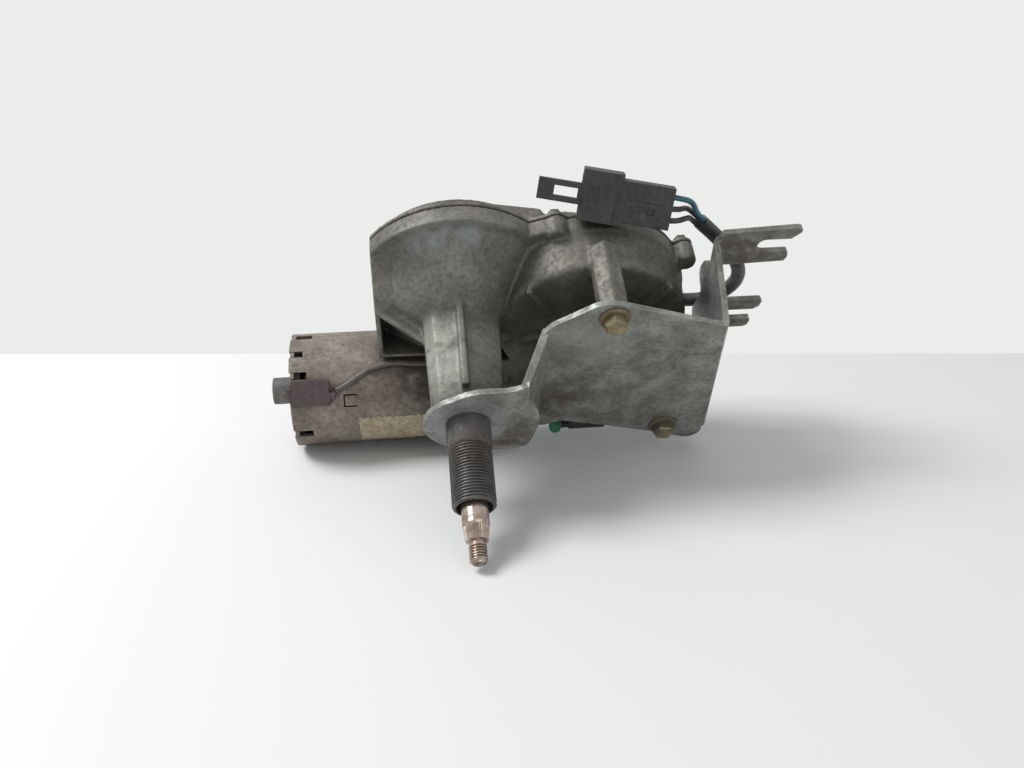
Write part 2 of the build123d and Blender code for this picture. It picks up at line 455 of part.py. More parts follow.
bench("wheel_arbor", rod_w(WHEEL_C, ARBOR_R, PIN_SEAT + 1.5, ARBOR_END))
bench("wheel_clip", ring_w(WHEEL_C, 6.4, ARBOR_R, BOSS_FACE + 0.4, BOSS_FACE + 1.2))
disc = ring_w(WHEEL_C, 36.5, 18.5, WHEEL_W0, WHEEL_W0 + 0.8)
disc -= ring_w(WHEEL_C, 40, 30.5, -90, -60) & block(WHEEL_C[0] - 45, WHEEL_C[0], WHEEL_C[1] - 7, WHEEL_C[1] + 7, -90, -60)
bench("contact_disc", disc)

# ---- park contact plate in the cover ------------------------------------------------------------------------
PLATE_W1 = -94.6
contact_plate = block(72, 94, -27, 6, COVER_TOP + 2.4, PLATE_W1)
contact_plate += block(OUTLET[0] - 7, OUTLET[0] + 7, OUTLET[1] - 6, OUTLET[1] + 6, COVER_TOP - 9, COVER_TOP + 2.4)
contact_plate += block(OUTLET[0] - 7, OUTLET[0] + 7, -28, -25, COVER_TOP + 2.4, PLATE_W1)
contact_plate -= rod_u(LOOM_R + 0.15, OUTLET[0] + 3, 120, OUTLET[1], COVER_TOP - 4.6)
bench("contact_plate", contact_plate)
fingers = []
for v_mid, reach in ((-22.0, 83.0), (-12.0, 86.5), (-2.0, 90.0)):
    strip = block(reach - 0.6, reach, v_mid - 1.6, v_mid + 1.6, PLATE_W1, WHEEL_W0 - 1.4)
    strip += block(reach - 8, reach, v_mid - 1.6, v_mid + 1.6, PLATE_W1, PLATE_W1 + 0.6)
    strip += rod_w((reach - 0.3, v_mid), 1.2, WHEEL_W0 - 1.4, WHEEL_W0 - 0.35)
    fingers.append(strip)
bench("contact_fingers", Compound(fingers))

# ---- armature ------------------------------------------------------------------------------------------------
bench("armature_shaft", rod_u(SHAFT_R, CAN_L - 9.8, 97.3))
WORM_ROOT, WORM_TIP, WORM_TURNS = 5.2, 8.3, 4
worm_u0 = WHEEL_C[0] - WORM_TURNS / 2 * WORM_PITCH
core = ring_u(WORM_ROOT, SHAFT_R, worm_u0 - 4.0, worm_u0 + WORM_TURNS * WORM_PITCH + 4.0)
helix = Helix(WORM_PITCH, WORM_TURNS * WORM_PITCH, WORM_R)
thread = make_face(Polyline((4.9, 1.28), (WORM_TIP, 0.42), (WORM_TIP, -0.42), (4.9, -1.28), close=True))
thread = sweep(Plane((0, 0, 0), x_dir=(1, 0, 0), z_dir=(0, -1, 0)) * thread, path=helix, is_frenet=True)
worm = core + Plane((worm_u0, MOTOR_V, MOTOR_W), x_dir=(0, 1, 0), z_dir=(1, 0, 0)) * thread
bench("worm", worm)

CORE_U0, CORE_U1, SLOTS = -61.0, -24.0, 10
armature = rod_u(CORE_R, CORE_U0, CORE_U1)
for k in range(SLOTS):
    slot = block(CORE_U0 - 1, CORE_U1 + 1, CORE_R - 1.6, CORE_R + 2, -1.2, 1.2)
    slot += block(CORE_U0 - 1, CORE_U1 + 1, CORE_R - 9.5, CORE_R - 1.6, -3.0, 3.0)
    armature -= on_can(36 * k, slot)
armature -= rod_u(SHAFT_R, -90, 0)
bench("armature_core", armature)
windings = []
for k in range(SLOTS):
    windings.append(on_can(36 * k, block(CORE_U0 - 3, CORE_U1 + 3, CORE_R - 9.2, CORE_R - 2.0, -2.7, 2.7)))
copper = windings[0]
for piece in windings[1:]:
    copper += piece
copper += ring_u(CORE_R - 2.2, 9.0, CORE_U0 - 6.4, CORE_U0 - 0.2)
copper += ring_u(CORE_R - 2.2, 9.0, CORE_U1 + 0.2, CORE_U1 + 5.6)
bench("windings", copper)
bench("insulator_sleeves", Compound([ring_u(8.8, SHAFT_R, CORE_U0 - 6.4, CORE_U0),
                                     ring_u(8.8, SHAFT_R, CORE_U1, CORE_U1 + 5.6)]))
COM_U0, COM_U1, COM_R = -83.0, -70.0, 9.6
commutator = ring_u(COM_R, SHAFT_R, COM_U0, COM_U1)
for k in range(SLOTS):
    commutator -= on_can(36 * k + 18, block(COM_U0 - 1, COM_U1 + 1, COM_R - 1.0, COM_R + 1, -0.35, 0.35))
bench("commutator", commutator)

# ---- motor can, magnets, end plate and bearings -----------------------------------------------------------------
can = ring_u(CAN_R, CAN_R - CAN_T, CAN_L, CAN_RT - 0.1)
NOTCHES = ((-32.0, 5.0, 11.0), (-3.0, 4.0, 7.0), (21.0, 4.0, 9.0), (85.0, 5.0, 10.0), (140.0, 6.0, 8.0),
           (195.0, 6.0, 8.0), (250.0, 6.0, 8.0))       # angle, width and length of the slots in the end
for deg, width, length in NOTCHES:
    can -= on_can(deg, block(CAN_L - 1, CAN_L + length, CAN_R - 3, CAN_R + 2, -width / 2, width / 2))
LANCE, LANCE_HALF, LANCE_CUT = (-57.4, 48.0), 3.5, 0.9   # tab cut free on three sides
tab_half = LANCE_HALF - LANCE_CUT
can -= on_can(LANCE[1], block(LANCE[0] - LANCE_HALF, LANCE[0] + LANCE_HALF, CAN_R - 3, CAN_R + 2,
                              -LANCE_HALF, LANCE_HALF)
              - block(LANCE[0] - tab_half, LANCE[0] + LANCE_HALF + 1, CAN_R - 4, CAN_R + 3, -tab_half, tab_half))
bench("motor_can", can)
magnets = []
def sector_u(degs, u0, u1):
    """Wedge about the can's axis through the given angles, well past the can's wall."""
    rays = [polar((MOTOR_V, MOTOR_W), 2 * CAN_R, deg) for deg in degs]
    return plate_u([(MOTOR_V, MOTOR_W)] + rays, u0, u1)


for middle in (30, 210):
    shell = ring_u(CAN_R - CAN_T - 0.05, CORE_R + AIR_GAP, CORE_U0 - 3.0, CORE_U1 + 4.0)
    magnets.append(shell & sector_u([middle + d for d in (-66, -22, 22, 66)], CAN_L, CAN_RT))
bench("field_magnets", Compound(magnets))

END_W = CAN_R - CAN_T - 0.05
end_plate = rod_u(END_W, CAN_L + 0.6, CAN_L + 2.8) + rod_u(12.0, CAN_L - 1.4, CAN_L + 0.6)
end_plate += rod_u(7.2, CAN_L - 12.0, CAN_L - 1.4)
for deg, width, length in NOTCHES:
    end_plate += on_can(deg, block(CAN_L + 0.6, CAN_L + 2.8, END_W - 2, CAN_R, -width / 2 + 0.4, width / 2 - 0.4))
end_plate -= rod_u(6.0, CAN_L - 10.6, CAN_L + 5)
bench("end_plate", end_plate)
bench("end_bush", ring_u(6.0, SHAFT_R + RUN_FIT, CAN_L - 9.0, CAN_L - 1.0))
bench("drive_end_bush", ring_u(7.0, SHAFT_R + RUN_FIT, -6.0, 2.0))
bench("worm_end_bush", ring_u(7.0, SHAFT_R + RUN_FIT, 90.5, 98.0))
BALL_R = 2.4
bench("thrust_ball", Pos(97.4 + BALL_R, MOTOR_V, MOTOR_W) * Sphere(BALL_R))
stop = rod_u(6.0, 97.4 + 2 * BALL_R, WORM_END - 1.0)
stop -= block(WORM_END - 2.6, WORM_END, MOTOR_V - 5, MOTOR_V + 5, MOTOR_W - 0.8, MOTOR_W + 0.8)
bench("end_float_screw", stop)

# ---- brush gear ---------------------------------------------------------------------------------------------------
holder = ring_u(CAN_R - CAN_T - 0.8, COM_R + 2.4, CAN_L + 3.0, CAN_L + 5.2)
TUBE_END = CAN_R - CAN_T - 2.4                  # brush tubes end just inside the can's wall
BRUSH_TOP = TUBE_END - 6.6
brushes, springs = [], []
for deg in (34.5, 214.5):
    tube = block(CAN_L + 5.1, -72.6, COM_R + 3.0, TUBE_END, -4.4, 4.4)
    holder += on_can(deg, tube - block(-80.4, -73.8, 8, CAN_R, -3.2, 3.2))
    brushes.append(on_can(deg, block(-80.2, -74.0, COM_R + GAP, BRUSH_TOP, -3.0, 3.0)))
    coil = Pos(-77.1, 0, 0) * Rot(-90, 0, 0) * Pos(0, 0, BRUSH_TOP + 0.1)
    springs.append(on_can(deg, coil * Cylinder(2.2, TUBE_END - BRUSH_TOP - 0.3, align=LOW)))
bench("brush_holder", holder)
bench("brushes", Compound(brushes))
bench("brush_springs", Compound(springs))

# ---- suppressor plug on the can, its lead, and the grommet in the flange -------------------------------------------
PLUG_DEG = 38.5
PLUG_END = -67.5
plug = block(CAN_L + 1.5, PLUG_END, CAN_R + 0.35, CAN_R + 4.2, -6.6, 6.6)
plug += block(CAN_L - 1.0, CAN_L + 1.6, CAN_R + 0.35, CAN_R + 3.4, -2.5, 2.5)                  # hook over the end
plug += block(CAN_L - 1.0, CAN_L - 0.1, CAN_R - 6, CAN_R + 0.4, -2.5, 2.5)
plug += Pos(PLUG_END, CAN_R + 2.3, 1.5) * Rot(0, 90, 0) * Cylinder(2.1, 3.0, align=LOW)
bench("suppressor_plug", on_can(PLUG_DEG, plug))
bench("type_label", on_can(0, ring_u(CAN_R + 0.25, CAN_R + 0.02, -54.7, -16.0, 0, 0))
      & sector_u((65, 85.5, 106), -60, 0))

# ---- mounting bolts -------------------------------------------------------------------------------------------------
bolts = []
for spot in (BOLT_A, BOLT_B):
    hexagon = [polar(spot, BOLT_AF / sqrt(3), 12 + 60 * k) for k in range(6)]
    bolt = rod_w(spot, BOLT_R - 0.3, -46, -STEP) + rod_w(spot, BOLT_FLANGE_R, -STEP, -STEP + 1.2)
    bolts.append(bolt + plate_w(hexagon, -STEP + 1.1, -STEP + 6.2))
bench("bracket_bolts", Compound(bolts))

# ---- breather and terminal block on the worm tunnel -------------------------------------------------------------------
BREATHER = (48.6, -60.6)
tunnel_skin = rod_u(TUNNEL_R + 0.02, 20, WORM_END)
bench("breather_body", rod_w(BREATHER, 3.9, -57.0, -37.5) + block(42.6, 48.6, -63.4, -57.8, -44.0, -37.5)
      - tunnel_skin)
bench("breather_cap", rod_w(BREATHER, 3.2, -37.5, -33.2) + cone_w(BREATHER, -33.2, 3.2, -31.0, 2.6))
TERMINAL = (56.5, 76.0)
terminal = block(*TERMINAL, -66.5, -56.4, -58.0, -35.0) - tunnel_skin
terminal += block(TERMINAL[0] - 4.0, TERMINAL[0], -66.5, -63.0, -50.0, -36.0)
terminal -= Pos(TERMINAL[0] - 1.9, -60, -40.0) * Rot(90, 0, 0) * Cylinder(1.1, 20)
bench("terminal_block", terminal)

# ---- suppressor lead along the can, held by the plug and the flange grommet ----------------------------------------------
LEAD_LIE = CAN_R + LEAD_R + 0.15
LUG_R, LUG_END = 2.2, CAN_RT - 3.1
LEAD_ROUTE = ((-64.3, 37.0), (-59.0, 33.0), (-51.0, 22.5), (-41.0, 15.0), (-32.5, 13.4), (-24.0, 16.0),
              (LUG_END, 16.0))
lead = [(u, MOTOR_V + LEAD_LIE * cos(radians(a)), MOTOR_W + LEAD_LIE * sin(radians(a))) for u, a in LEAD_ROUTE]
bench("suppressor_lead", cord_tube(lead, LEAD_R, "suppressor_lead"))
lug = (MOTOR_V + (CAN_R + 0.12 + LUG_R) * cos(radians(16.0)), MOTOR_W + (CAN_R + 0.12 + LUG_R) * sin(radians(16.0)))
bench("lead_grommet", rod_u(LUG_R, LUG_END, CAN_RT - 0.02, *lug))

# ---- connector, lying on the rim of the case ----------------------------------------------------------------------------
SEAT_X, SEAT_Y, SEAT_Z = 55.8, 36.8, 84.8      # where the collar's corner rests, in the bench frame
COLLAR_L, COLLAR_H, DEPTH = 18.9, 23.8, 10.0
BODY_L, BODY_H, BODY_D = 24.4, 19.7, 8.8
TILT, TURN = 10.0, -8.0
seat = Location((0, 0, 0), (90 + LEAN, 0, 0)).inverse() * Pos(SEAT_X, SEAT_Y, SEAT_Z) * Rot(0, 0, TURN) * Rot(0, TILT, 0)
housing = block(0, COLLAR_L, 0, DEPTH, 0, COLLAR_H)
housing += block(COLLAR_L, COLLAR_L + BODY_L, 0.8, 0.8 + BODY_D, 1.4, 1.4 + BODY_H)
housing -= block(-1, 14.0, 1.8, DEPTH - 1.6, 2.0, COLLAR_H - 2.0)
latch = block(-20.2, 1, -0.9, 1.3, 7.2, 17.2) - block(-12.6, -1.6, -3, 4, 9.9, 14.5)
housing += latch
housing -= block(14.0, COLLAR_L + BODY_L - 6.0, 3.0, 7.0, 3.4, 18.4)
PORTS = (16.6, 10.9, 5.2)
CRIMP = COLLAR_L + BODY_L - 6.9                      # where the wires meet their terminals
for z in PORTS:
    housing -= block(COLLAR_L + BODY_L - 7, COLLAR_L + BODY_L + 1, 3.4, 6.6, z - 1.6, z + 1.6)
bench("connector_housing", seat * housing)
terminals = [block(4.0, CRIMP - 0.02, 4.6, 5.4, z - 1.4, z + 1.4) for z in PORTS]
carrier = [block(14.2, 17.5, 3.1, 6.9, 3.5, 18.3)]
bench("connector_terminals", Compound([seat * t for t in terminals]))
plug_core = carrier[0]
for t in terminals:
    plug_core -= t
bench("terminal_carrier", seat * plug_core)

# ---- wiring tail --------------------------------------------------------------------------------------------------------
LOOM_ROUTE = [(82.05, OUTLET[1], COVER_TOP - 4.6), (97.5, OUTLET[1], COVER_TOP - 4.6), (112.0, -39.5, -103.0),
              (126.5, -43.0, -100.8), (139.5, -39.8, -98.4), (148.9, -30.1, -96.0), (152.1, -17.0, -93.6),
              (148.0, -2.6, -91.2), (136.3, 16.1, -88.6), (119.0, 35.5, -86.5)]
bench("loom_sleeve", cord_tube(LOOM_ROUTE, LOOM_R, "loom_sleeve"))
bench("loom_grommet", rod_u(4.45, OUTLET[0] + 7.02, OUTLET[0] + 10.5, OUTLET[1], COVER_TOP - 4.6)
      - rod_u(LOOM_R + 0.02, 60, 120, OUTLET[1], COVER_TOP - 4.6))
WIRE_ROUTES = {
    "wire_blue": [(94.85, 56.83, -84.18), (104.11, 56.22, -82.17), (111.8, 51.9, -84.0),
                  (116.13, 41.58, -85.58), (120.43, 36.76, -86.1)],
    "wire_black": [(92.89, 47.47, -77.97), (102.15, 46.87, -75.95), (109.8, 45.3, -80.0),
                   (113.29, 39.05, -85.58), (117.59, 34.23, -86.1)],
    "wire_brown": [(93.87, 52.15, -81.07), (103.13, 51.54, -79.06), (109.9, 46.6, -85.4),
                   (114.57, 40.47, -88.17), (118.87, 35.65, -88.69)]}
for name, route in WIRE_ROUTES.items():
    bench(name, cord_tube(route, WIRE_R, name))
print("built", len(MADE))
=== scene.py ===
# %% [markdown]
# # Rear wiper motor on a bench
# A geared wiper motor lies on its side: the round motor can points left, the die-cast gear case leans
# back, and the threaded spindle sleeve comes towards the viewer through a pressed steel bracket.  The
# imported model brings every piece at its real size.  This lesson gives each one its surface, rounds the
# cast and moulded edges, cuts the threads, and lays the wires as real cords.

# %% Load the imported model
import json
import math

import bmesh
import bpy
from mathutils import Matrix, Vector, noise


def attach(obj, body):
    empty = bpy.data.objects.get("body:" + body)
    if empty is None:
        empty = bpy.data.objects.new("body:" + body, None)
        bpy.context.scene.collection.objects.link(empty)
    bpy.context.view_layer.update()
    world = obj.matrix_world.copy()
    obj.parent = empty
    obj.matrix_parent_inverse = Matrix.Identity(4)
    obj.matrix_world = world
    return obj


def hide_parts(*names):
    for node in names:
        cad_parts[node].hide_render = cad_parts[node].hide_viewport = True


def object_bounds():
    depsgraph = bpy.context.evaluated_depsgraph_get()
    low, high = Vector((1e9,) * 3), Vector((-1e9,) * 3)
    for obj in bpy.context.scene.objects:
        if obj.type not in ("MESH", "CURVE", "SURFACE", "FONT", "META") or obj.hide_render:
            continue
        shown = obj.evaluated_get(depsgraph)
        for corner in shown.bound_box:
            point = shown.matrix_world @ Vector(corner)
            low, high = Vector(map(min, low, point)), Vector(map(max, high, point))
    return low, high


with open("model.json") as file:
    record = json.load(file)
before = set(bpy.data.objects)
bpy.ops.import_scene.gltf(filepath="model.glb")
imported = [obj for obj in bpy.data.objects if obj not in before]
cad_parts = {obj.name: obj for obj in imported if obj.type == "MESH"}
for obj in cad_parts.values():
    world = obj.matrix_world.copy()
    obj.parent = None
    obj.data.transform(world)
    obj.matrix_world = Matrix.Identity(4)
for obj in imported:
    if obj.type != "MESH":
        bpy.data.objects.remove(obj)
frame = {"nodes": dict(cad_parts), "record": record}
CAD_LOW, CAD_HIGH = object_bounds()
NODES = frame["nodes"]
RECORD = frame["record"]
BODY_OF = {node: body for body, members in RECORD["behaviour"]["bodies"].items() for node in members}
SLOT_OF = {part["node"]: part["material_slot"] for part in RECORD["subparts"]}
print("nodes", len(NODES), "size mm", [round(1000 * side) for side in CAD_HIGH - CAD_LOW])

# %% [markdown]
# ## One machine frame
# A maker draws this motor square to its own axes: u along the motor shaft, v up the bracket and w out
# along the spindle, in millimetres.  On the bench it leans back.  One matrix holds that lean, so every
# piece below is drawn in plain machine millimetres and turned once.

# %% Machine millimetres to bench metres
LEAN = math.radians(35)
TO_BENCH = Matrix.Scale(0.001, 4) @ Matrix.Rotation(math.pi / 2 + LEAN, 4, "X")


def bench(u, v, w):
    return TO_BENCH @ Vector((u, v, w))


def bench_direction(u, v, w):
    return (TO_BENCH.to_3x3() @ Vector((u, v, w))).normalized()


# %% [markdown]
# ## Camera
# The camera stands in front of the spindle, a little above it, and looks slightly down, so that the
# bracket is seen almost flat and the can in profile.  Its place is given in the machine frame.

# %% Camera
CAMERA_SPOT = (-16.5, 381.0, 237.6)
CAMERA_AIM = (0.0837, -0.8245, -0.5597)
CAMERA_DOWN = (-0.0549, -0.5646, 0.8235)
FOCAL_PX, IMAGE_PX, SENSOR_MM = 980, 1024, 36

camera = bpy.data.objects.new("camera", bpy.data.cameras.new("camera"))
bpy.context.scene.collection.objects.link(camera)
back, up = -bench_direction(*CAMERA_AIM), -bench_direction(*CAMERA_DOWN)
side = up.cross(back).normalized()
up = back.cross(side)
camera.matrix_world = Matrix.Translation(bench(*CAMERA_SPOT)) @ Matrix((side, up, back)).transposed().to_4x4()
camera.data.sensor_width = SENSOR_MM
camera.data.lens = SENSOR_MM * FOCAL_PX / IMAGE_PX
camera.data.clip_start = 0.01
bpy.context.scene.camera = camera
print("camera height mm", round(1000 * (camera.location.z - CAD_LOW.z)), "lens", round(camera.data.lens, 2))

# %% [markdown]
# ## Cords
# Five free cords run round the motor: the sleeved loom that leaves the cover, the three wires that come out
# of its end and enter the plug, and the thin suppressor lead on the can.  A cord is a curve with a round
# bevel.  Its few points are control points, and an order of 3 draws one smooth line through their midst, as
# a soft cord lies.  Each point carries the cord's radius in metres and the bevel's depth is 1, which keeps
# the curve's bounds to those of the cord.  The real length of each cord is printed.

# %% Cord routes, machine millimetres
LOOM_ROUTE = [(82.05, -31.0, -104.6), (97.5, -31.0, -104.6), (112.0, -39.5, -103.0), (126.5, -43.0, -100.8),
              (139.5, -39.8, -98.4), (148.9, -30.1, -96.0), (152.1, -17.0, -93.6), (148.0, -2.6, -91.2),
              (136.3, 16.1, -88.6), (119.0, 35.5, -86.5)]
BLUE_ROUTE = [(120.43, 36.76, -86.1), (116.13, 41.58, -85.58), (111.8, 51.9, -84.0), (104.11, 56.22, -82.17),
              (94.85, 56.83, -84.18)]
BLACK_ROUTE = [(117.59, 34.23, -86.1), (113.29, 39.05, -85.58), (109.8, 45.3, -80.0), (102.15, 46.87, -75.95),
               (92.89, 47.47, -77.97)]
BROWN_ROUTE = [(118.87, 35.65, -88.69), (114.57, 40.47, -88.17), (109.9, 46.6, -85.4), (103.13, 51.54, -79.06),
               (93.87, 52.15, -81.07)]
CAN_AXIS, CAN_R, LEAD_R, LEAD_CLEAR = (-62.0, -67.0), 30.0, 1.4, 0.15
LEAD_STATIONS = [(-64.3, 37.0), (-59.0, 33.0), (-51.0, 22.5), (-41.0, 15.0), (-32.5, 13.4), (-24.0, 16.0),
                 (-15.1, 16.0)]


def on_can(u, degrees, radius):
    """A point beside the can's axis, at an angle from straight up the bracket towards the spindle."""
    angle = math.radians(degrees)
    return (u, CAN_AXIS[0] + radius * math.cos(angle), CAN_AXIS[1] + radius * math.sin(angle))


# The lead lies on the can: its stations are (u, degrees), just clear of the skin.
LEAD_ROUTE = [on_can(u, degrees, CAN_R + LEAD_R + LEAD_CLEAR) for u, degrees in LEAD_STATIONS]

print("cord points", [len(route) for route in (LOOM_ROUTE, BLUE_ROUTE, BLACK_ROUTE, BROWN_ROUTE, LEAD_ROUTE)])


# %% Lay one cord
def lay_cord(name, route, radius_mm, length_mm, node):
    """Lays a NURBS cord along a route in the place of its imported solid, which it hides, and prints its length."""
    curve = bpy.data.curves.new(name, "CURVE")
    curve.dimensions = "3D"
    curve.bevel_depth = 1.0
    curve.bevel_resolution = 5
    curve.resolution_u = 16
    curve.use_fill_caps = True
    spline = curve.splines.new("NURBS")
    spline.points.add(len(route) - 1)
    for point, spot in zip(spline.points, route):
        point.co = (*bench(*spot), 1.0)
        point.radius = radius_mm / 1000
    spline.order_u = 3
    spline.use_endpoint_u = True
    cord = bpy.data.objects.new(name, curve)
    bpy.context.scene.collection.objects.link(cord)
    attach(cord, "base")
    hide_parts(node)
    print(name, "length mm", length_mm)
    return cord


# %% Lay the cords
WIRE_R, LOOM_R = 1.35, 3.75
loom = lay_cord("loom_cord", LOOM_ROUTE, LOOM_R, 150.2, "loom_sleeve")
blue = lay_cord("blue_cord", BLUE_ROUTE, WIRE_R, 35.7, "wire_blue")
black = lay_cord("black_cord", BLACK_ROUTE, WIRE_R, 33.0, "wire_black")
brown = lay_cord("brown_cord", BROWN_ROUTE, WIRE_R, 33.8, "wire_brown")
lead = lay_cord("suppressor_cord", LEAD_ROUTE, LEAD_R, 52.3, "suppressor_lead")

# %% [markdown]
# ## Helpers for finishes
# Every finish is a small node tree on Object coordinates, so its grain has a real size in millimetres and
# stays on the piece when a joint moves.  Image textures would need an unwrapped surface and a real map.
# Colours are written as sRGB hex values and turned to linear by one function.

# %% Colour and nodes
def linear(code):
    channels = [int(code[i:i + 2], 16) / 255 for i in (1, 3, 5)]
    return [c / 12.92 if c <= 0.04045 else ((c + 0.055) / 1.055) ** 2.4 for c in channels] + [1.0]


def add(tree, kind, links=None, **settings):
    """Adds a node; links maps an input to an output socket or a value, settings are the node's own."""
    made = tree.nodes.new("ShaderNode" + kind)
    for key, value in settings.items():
        setattr(made, key, value)
    for key, value in (links or {}).items():
        if isinstance(value, bpy.types.NodeSocket):
            tree.links.new(value, made.inputs[key])
        else:
            made.inputs[key].default_value = value
    return made


def per_mm(size_mm):
    """Noise scale that gives blotches of about this size on coordinates in metres."""
    return 1000 / size_mm


def new_finish(name, roughness, metallic=0.0):
    material = bpy.data.materials.new(name)
    material.use_nodes = True
    tree = material.node_tree
    shader = tree.nodes["Principled BSDF"]
    shader.inputs["Roughness"].default_value = roughness
    shader.inputs["Metallic"].default_value = metallic
    return material, tree, shader


# %% Patterns
def blotches(tree, place, size_mm, detail=4, low=0.35, high=0.65, distortion=0.0):
    """Noise of a real size, stretched to run from 0 to 1."""
    cloud = add(tree, "TexNoise", {"Vector": place, "Scale": per_mm(size_mm), "Detail": detail,
                                   "Distortion": distortion})
    return add(tree, "MapRange", {"Value": cloud.outputs[0], "From Min": low, "From Max": high}).outputs[0]


def maths(tree, kind, first, second):
    return add(tree, "Math", {0: first, 1: second}, operation=kind).outputs[0]


def blend(tree, amount, first, second):
    mix = add(tree, "Mix", {0: amount}, data_type="RGBA")
    for index, value in ((6, first), (7, second)):
        if isinstance(value, bpy.types.NodeSocket):
            tree.links.new(value, mix.inputs[index])
        else:
            mix.inputs[index].default_value = value
    return mix.outputs[2]


def object_place(tree):
    return add(tree, "TexCoord").outputs["Object"]


def reach(tree, place, spot, near_mm, far_mm):
    """1 at a machine point, falling to 0 far from it."""
    away = add(tree, "VectorMath", {0: place, 1: bench(*spot)}, operation="DISTANCE").outputs["Value"]
    return add(tree, "MapRange", {"Value": away, "From Min": far_mm / 1000, "From Max": near_mm / 1000}).outputs[0]


def occluded_corners(tree, depth_mm):
    """1 deep in a corner, 0 on open ground, by ambient occlusion: where dirt stays, and painted shade where the sky
    is hidden.
    """
    sky = add(tree, "AmbientOcclusion", {"Distance": depth_mm / 1000}, samples=6).outputs["AO"]
    return add(tree, "MapRange", {"Value": sky, "From Min": 0.85, "From Max": 0.25}).outputs[0]


def worn_edges(tree, width_mm):
    """1 on an outer edge, 0 on a face: where handling rubs the skin away."""
    depth = add(tree, "AmbientOcclusion", {"Distance": width_mm / 1000}, samples=6, inside=True, only_local=True)
    return add(tree, "MapRange", {"Value": depth.outputs["AO"], "From Min": 0.75, "From Max": 0.35}).outputs[0]


# %% Weathered surfaces
WIDE_SHARE, FINE_SHARE, SPECK_SHARE = 0.7, 0.42, 0.2      # how far each pattern pulls the colour


def weathered(name, body, pale, dark, roughness, metallic=0.0, grain_mm=0.9, bump_mm=0.05,
              wide_mm=22, edge=0.0, edge_mm=1.2, dirt_and_shade=0.0, dirt_and_shade_mm=9, spots=(), pits=0.0):
    """Metal or plastic that has been outdoors: tones in blotches, dirt and painted shade in corners, pale worn
    edges, fine grain.

    spots lists (machine point, near mm, far mm, colour, amount) for stains, and for patches of painted light
    and shade, that belong to one place."""
    material, tree, shader = new_finish(name, roughness, metallic)
    place = object_place(tree)
    wide = blotches(tree, place, wide_mm, 5, 0.36, 0.64, 0.4)
    fine = blotches(tree, place, 2.2, 7, 0.42, 0.72)
    speck = blotches(tree, place, 0.6, 3, 0.54, 0.72)
    tone = blend(tree, maths(tree, "MULTIPLY", wide, WIDE_SHARE), linear(body), linear(pale))
    tone = blend(tree, maths(tree, "MULTIPLY", fine, FINE_SHARE), tone, linear(dark))
    tone = blend(tree, maths(tree, "MULTIPLY", speck, SPECK_SHARE), tone, linear(dark))
    for spot, near, far, colour, amount in spots:
        # Each patch is a stain, or painted light or shade where its colour stands in for how the light falls.
        local_patch = maths(tree, "MULTIPLY", reach(tree, place, spot, near, far), blotches(tree, place, 7, 5, 0.3, 0.55))
        tone = blend(tree, maths(tree, "MULTIPLY", local_patch, amount), tone, linear(colour))
    if dirt_and_shade:
        # Painted shade: where little sky reaches, the tone turns towards the dark colour, which stands for dirt
        # there as well.
        corner = maths(tree, "MULTIPLY", occluded_corners(tree, dirt_and_shade_mm), dirt_and_shade)
        tone = blend(tree, corner, tone, linear(dark))
    if edge:
        rub = maths(tree, "MULTIPLY", worn_edges(tree, edge_mm), blotches(tree, place, 5, 4, 0.3, 0.6))
        tone = blend(tree, maths(tree, "MULTIPLY", rub, edge), tone, linear(pale))
    tree.links.new(tone, shader.inputs["Base Color"])
    rough = add(tree, "MapRange", {"Value": fine, "To Min": roughness - 0.06, "To Max": min(1.0, roughness + 0.14)})
    tree.links.new(rough.outputs[0], shader.inputs["Roughness"])
    grain = add(tree, "TexNoise", {"Vector": place, "Scale": per_mm(grain_mm), "Detail": 4})
    height = grain.outputs[0]
    if pits:
        pit = blotches(tree, place, 2.6, 3, 0.58, 0.7)
        height = maths(tree, "SUBTRACT", height, maths(tree, "MULTIPLY", pit, pits))
    relief = add(tree, "Bump", {"Height": height, "Distance": bump_mm / 1000, "Strength": 0.8})
    tree.links.new(relief.outputs[0], shader.inputs["Normal"])
    return material


# %% [markdown]
# ## Finishes
# Pressure die-cast alloy that has stood in road spray turns a brownish grey and keeps a matt, grainy skin.
# Dull zinc on pressed sheet shows pale bloom and rust stain, and drawn steel goes brown with pale scuffs.
# Only the end of the spindle, which the arm's hub covered, stays bright.  One function makes them all, so
# that they age in the same way; what differs is the colour, the gloss, and where each one is stained.

# %% Cast metal
# Matt and grainy, dark in the corners with dirt and painted shade, and pale where hands and tools rub the edges;
# paint-like chips under the rim, painted light on the tower's left flank, and painted shade in the valley between
# the tower and the lobe.
CAST = weathered("die-cast alloy, weathered", "#5c5952", "#88857c", "#2b2722", 0.58, 0.2, 0.7, 0.08, edge=1.0,
                 dirt_and_shade=0.95, dirt_and_shade_mm=16, pits=0.5,
                 spots=[((-15, 40, -78), 1, 12, "#868b8f", 0.75), ((-4, 42, -78), 1, 13, "#868b8f", 0.75),
                        ((8, 43, -79), 1, 10, "#868b8f", 0.7), ((-12, 12, -30), 6, 26, "#a5a79f", 0.75),
                        ((30, 14, -70), 6, 26, "#4a443a", 0.6)])
# The same skin, with less dirt, because nothing drips on it, and with less painted shade in its corners.
COVER = weathered("cast cover, weathered", "#5e5a52", "#88857c", "#2d2923", 0.58, 0.2, 0.7, 0.08, edge=0.9,
                  dirt_and_shade=0.8, dirt_and_shade_mm=8, pits=0.5)

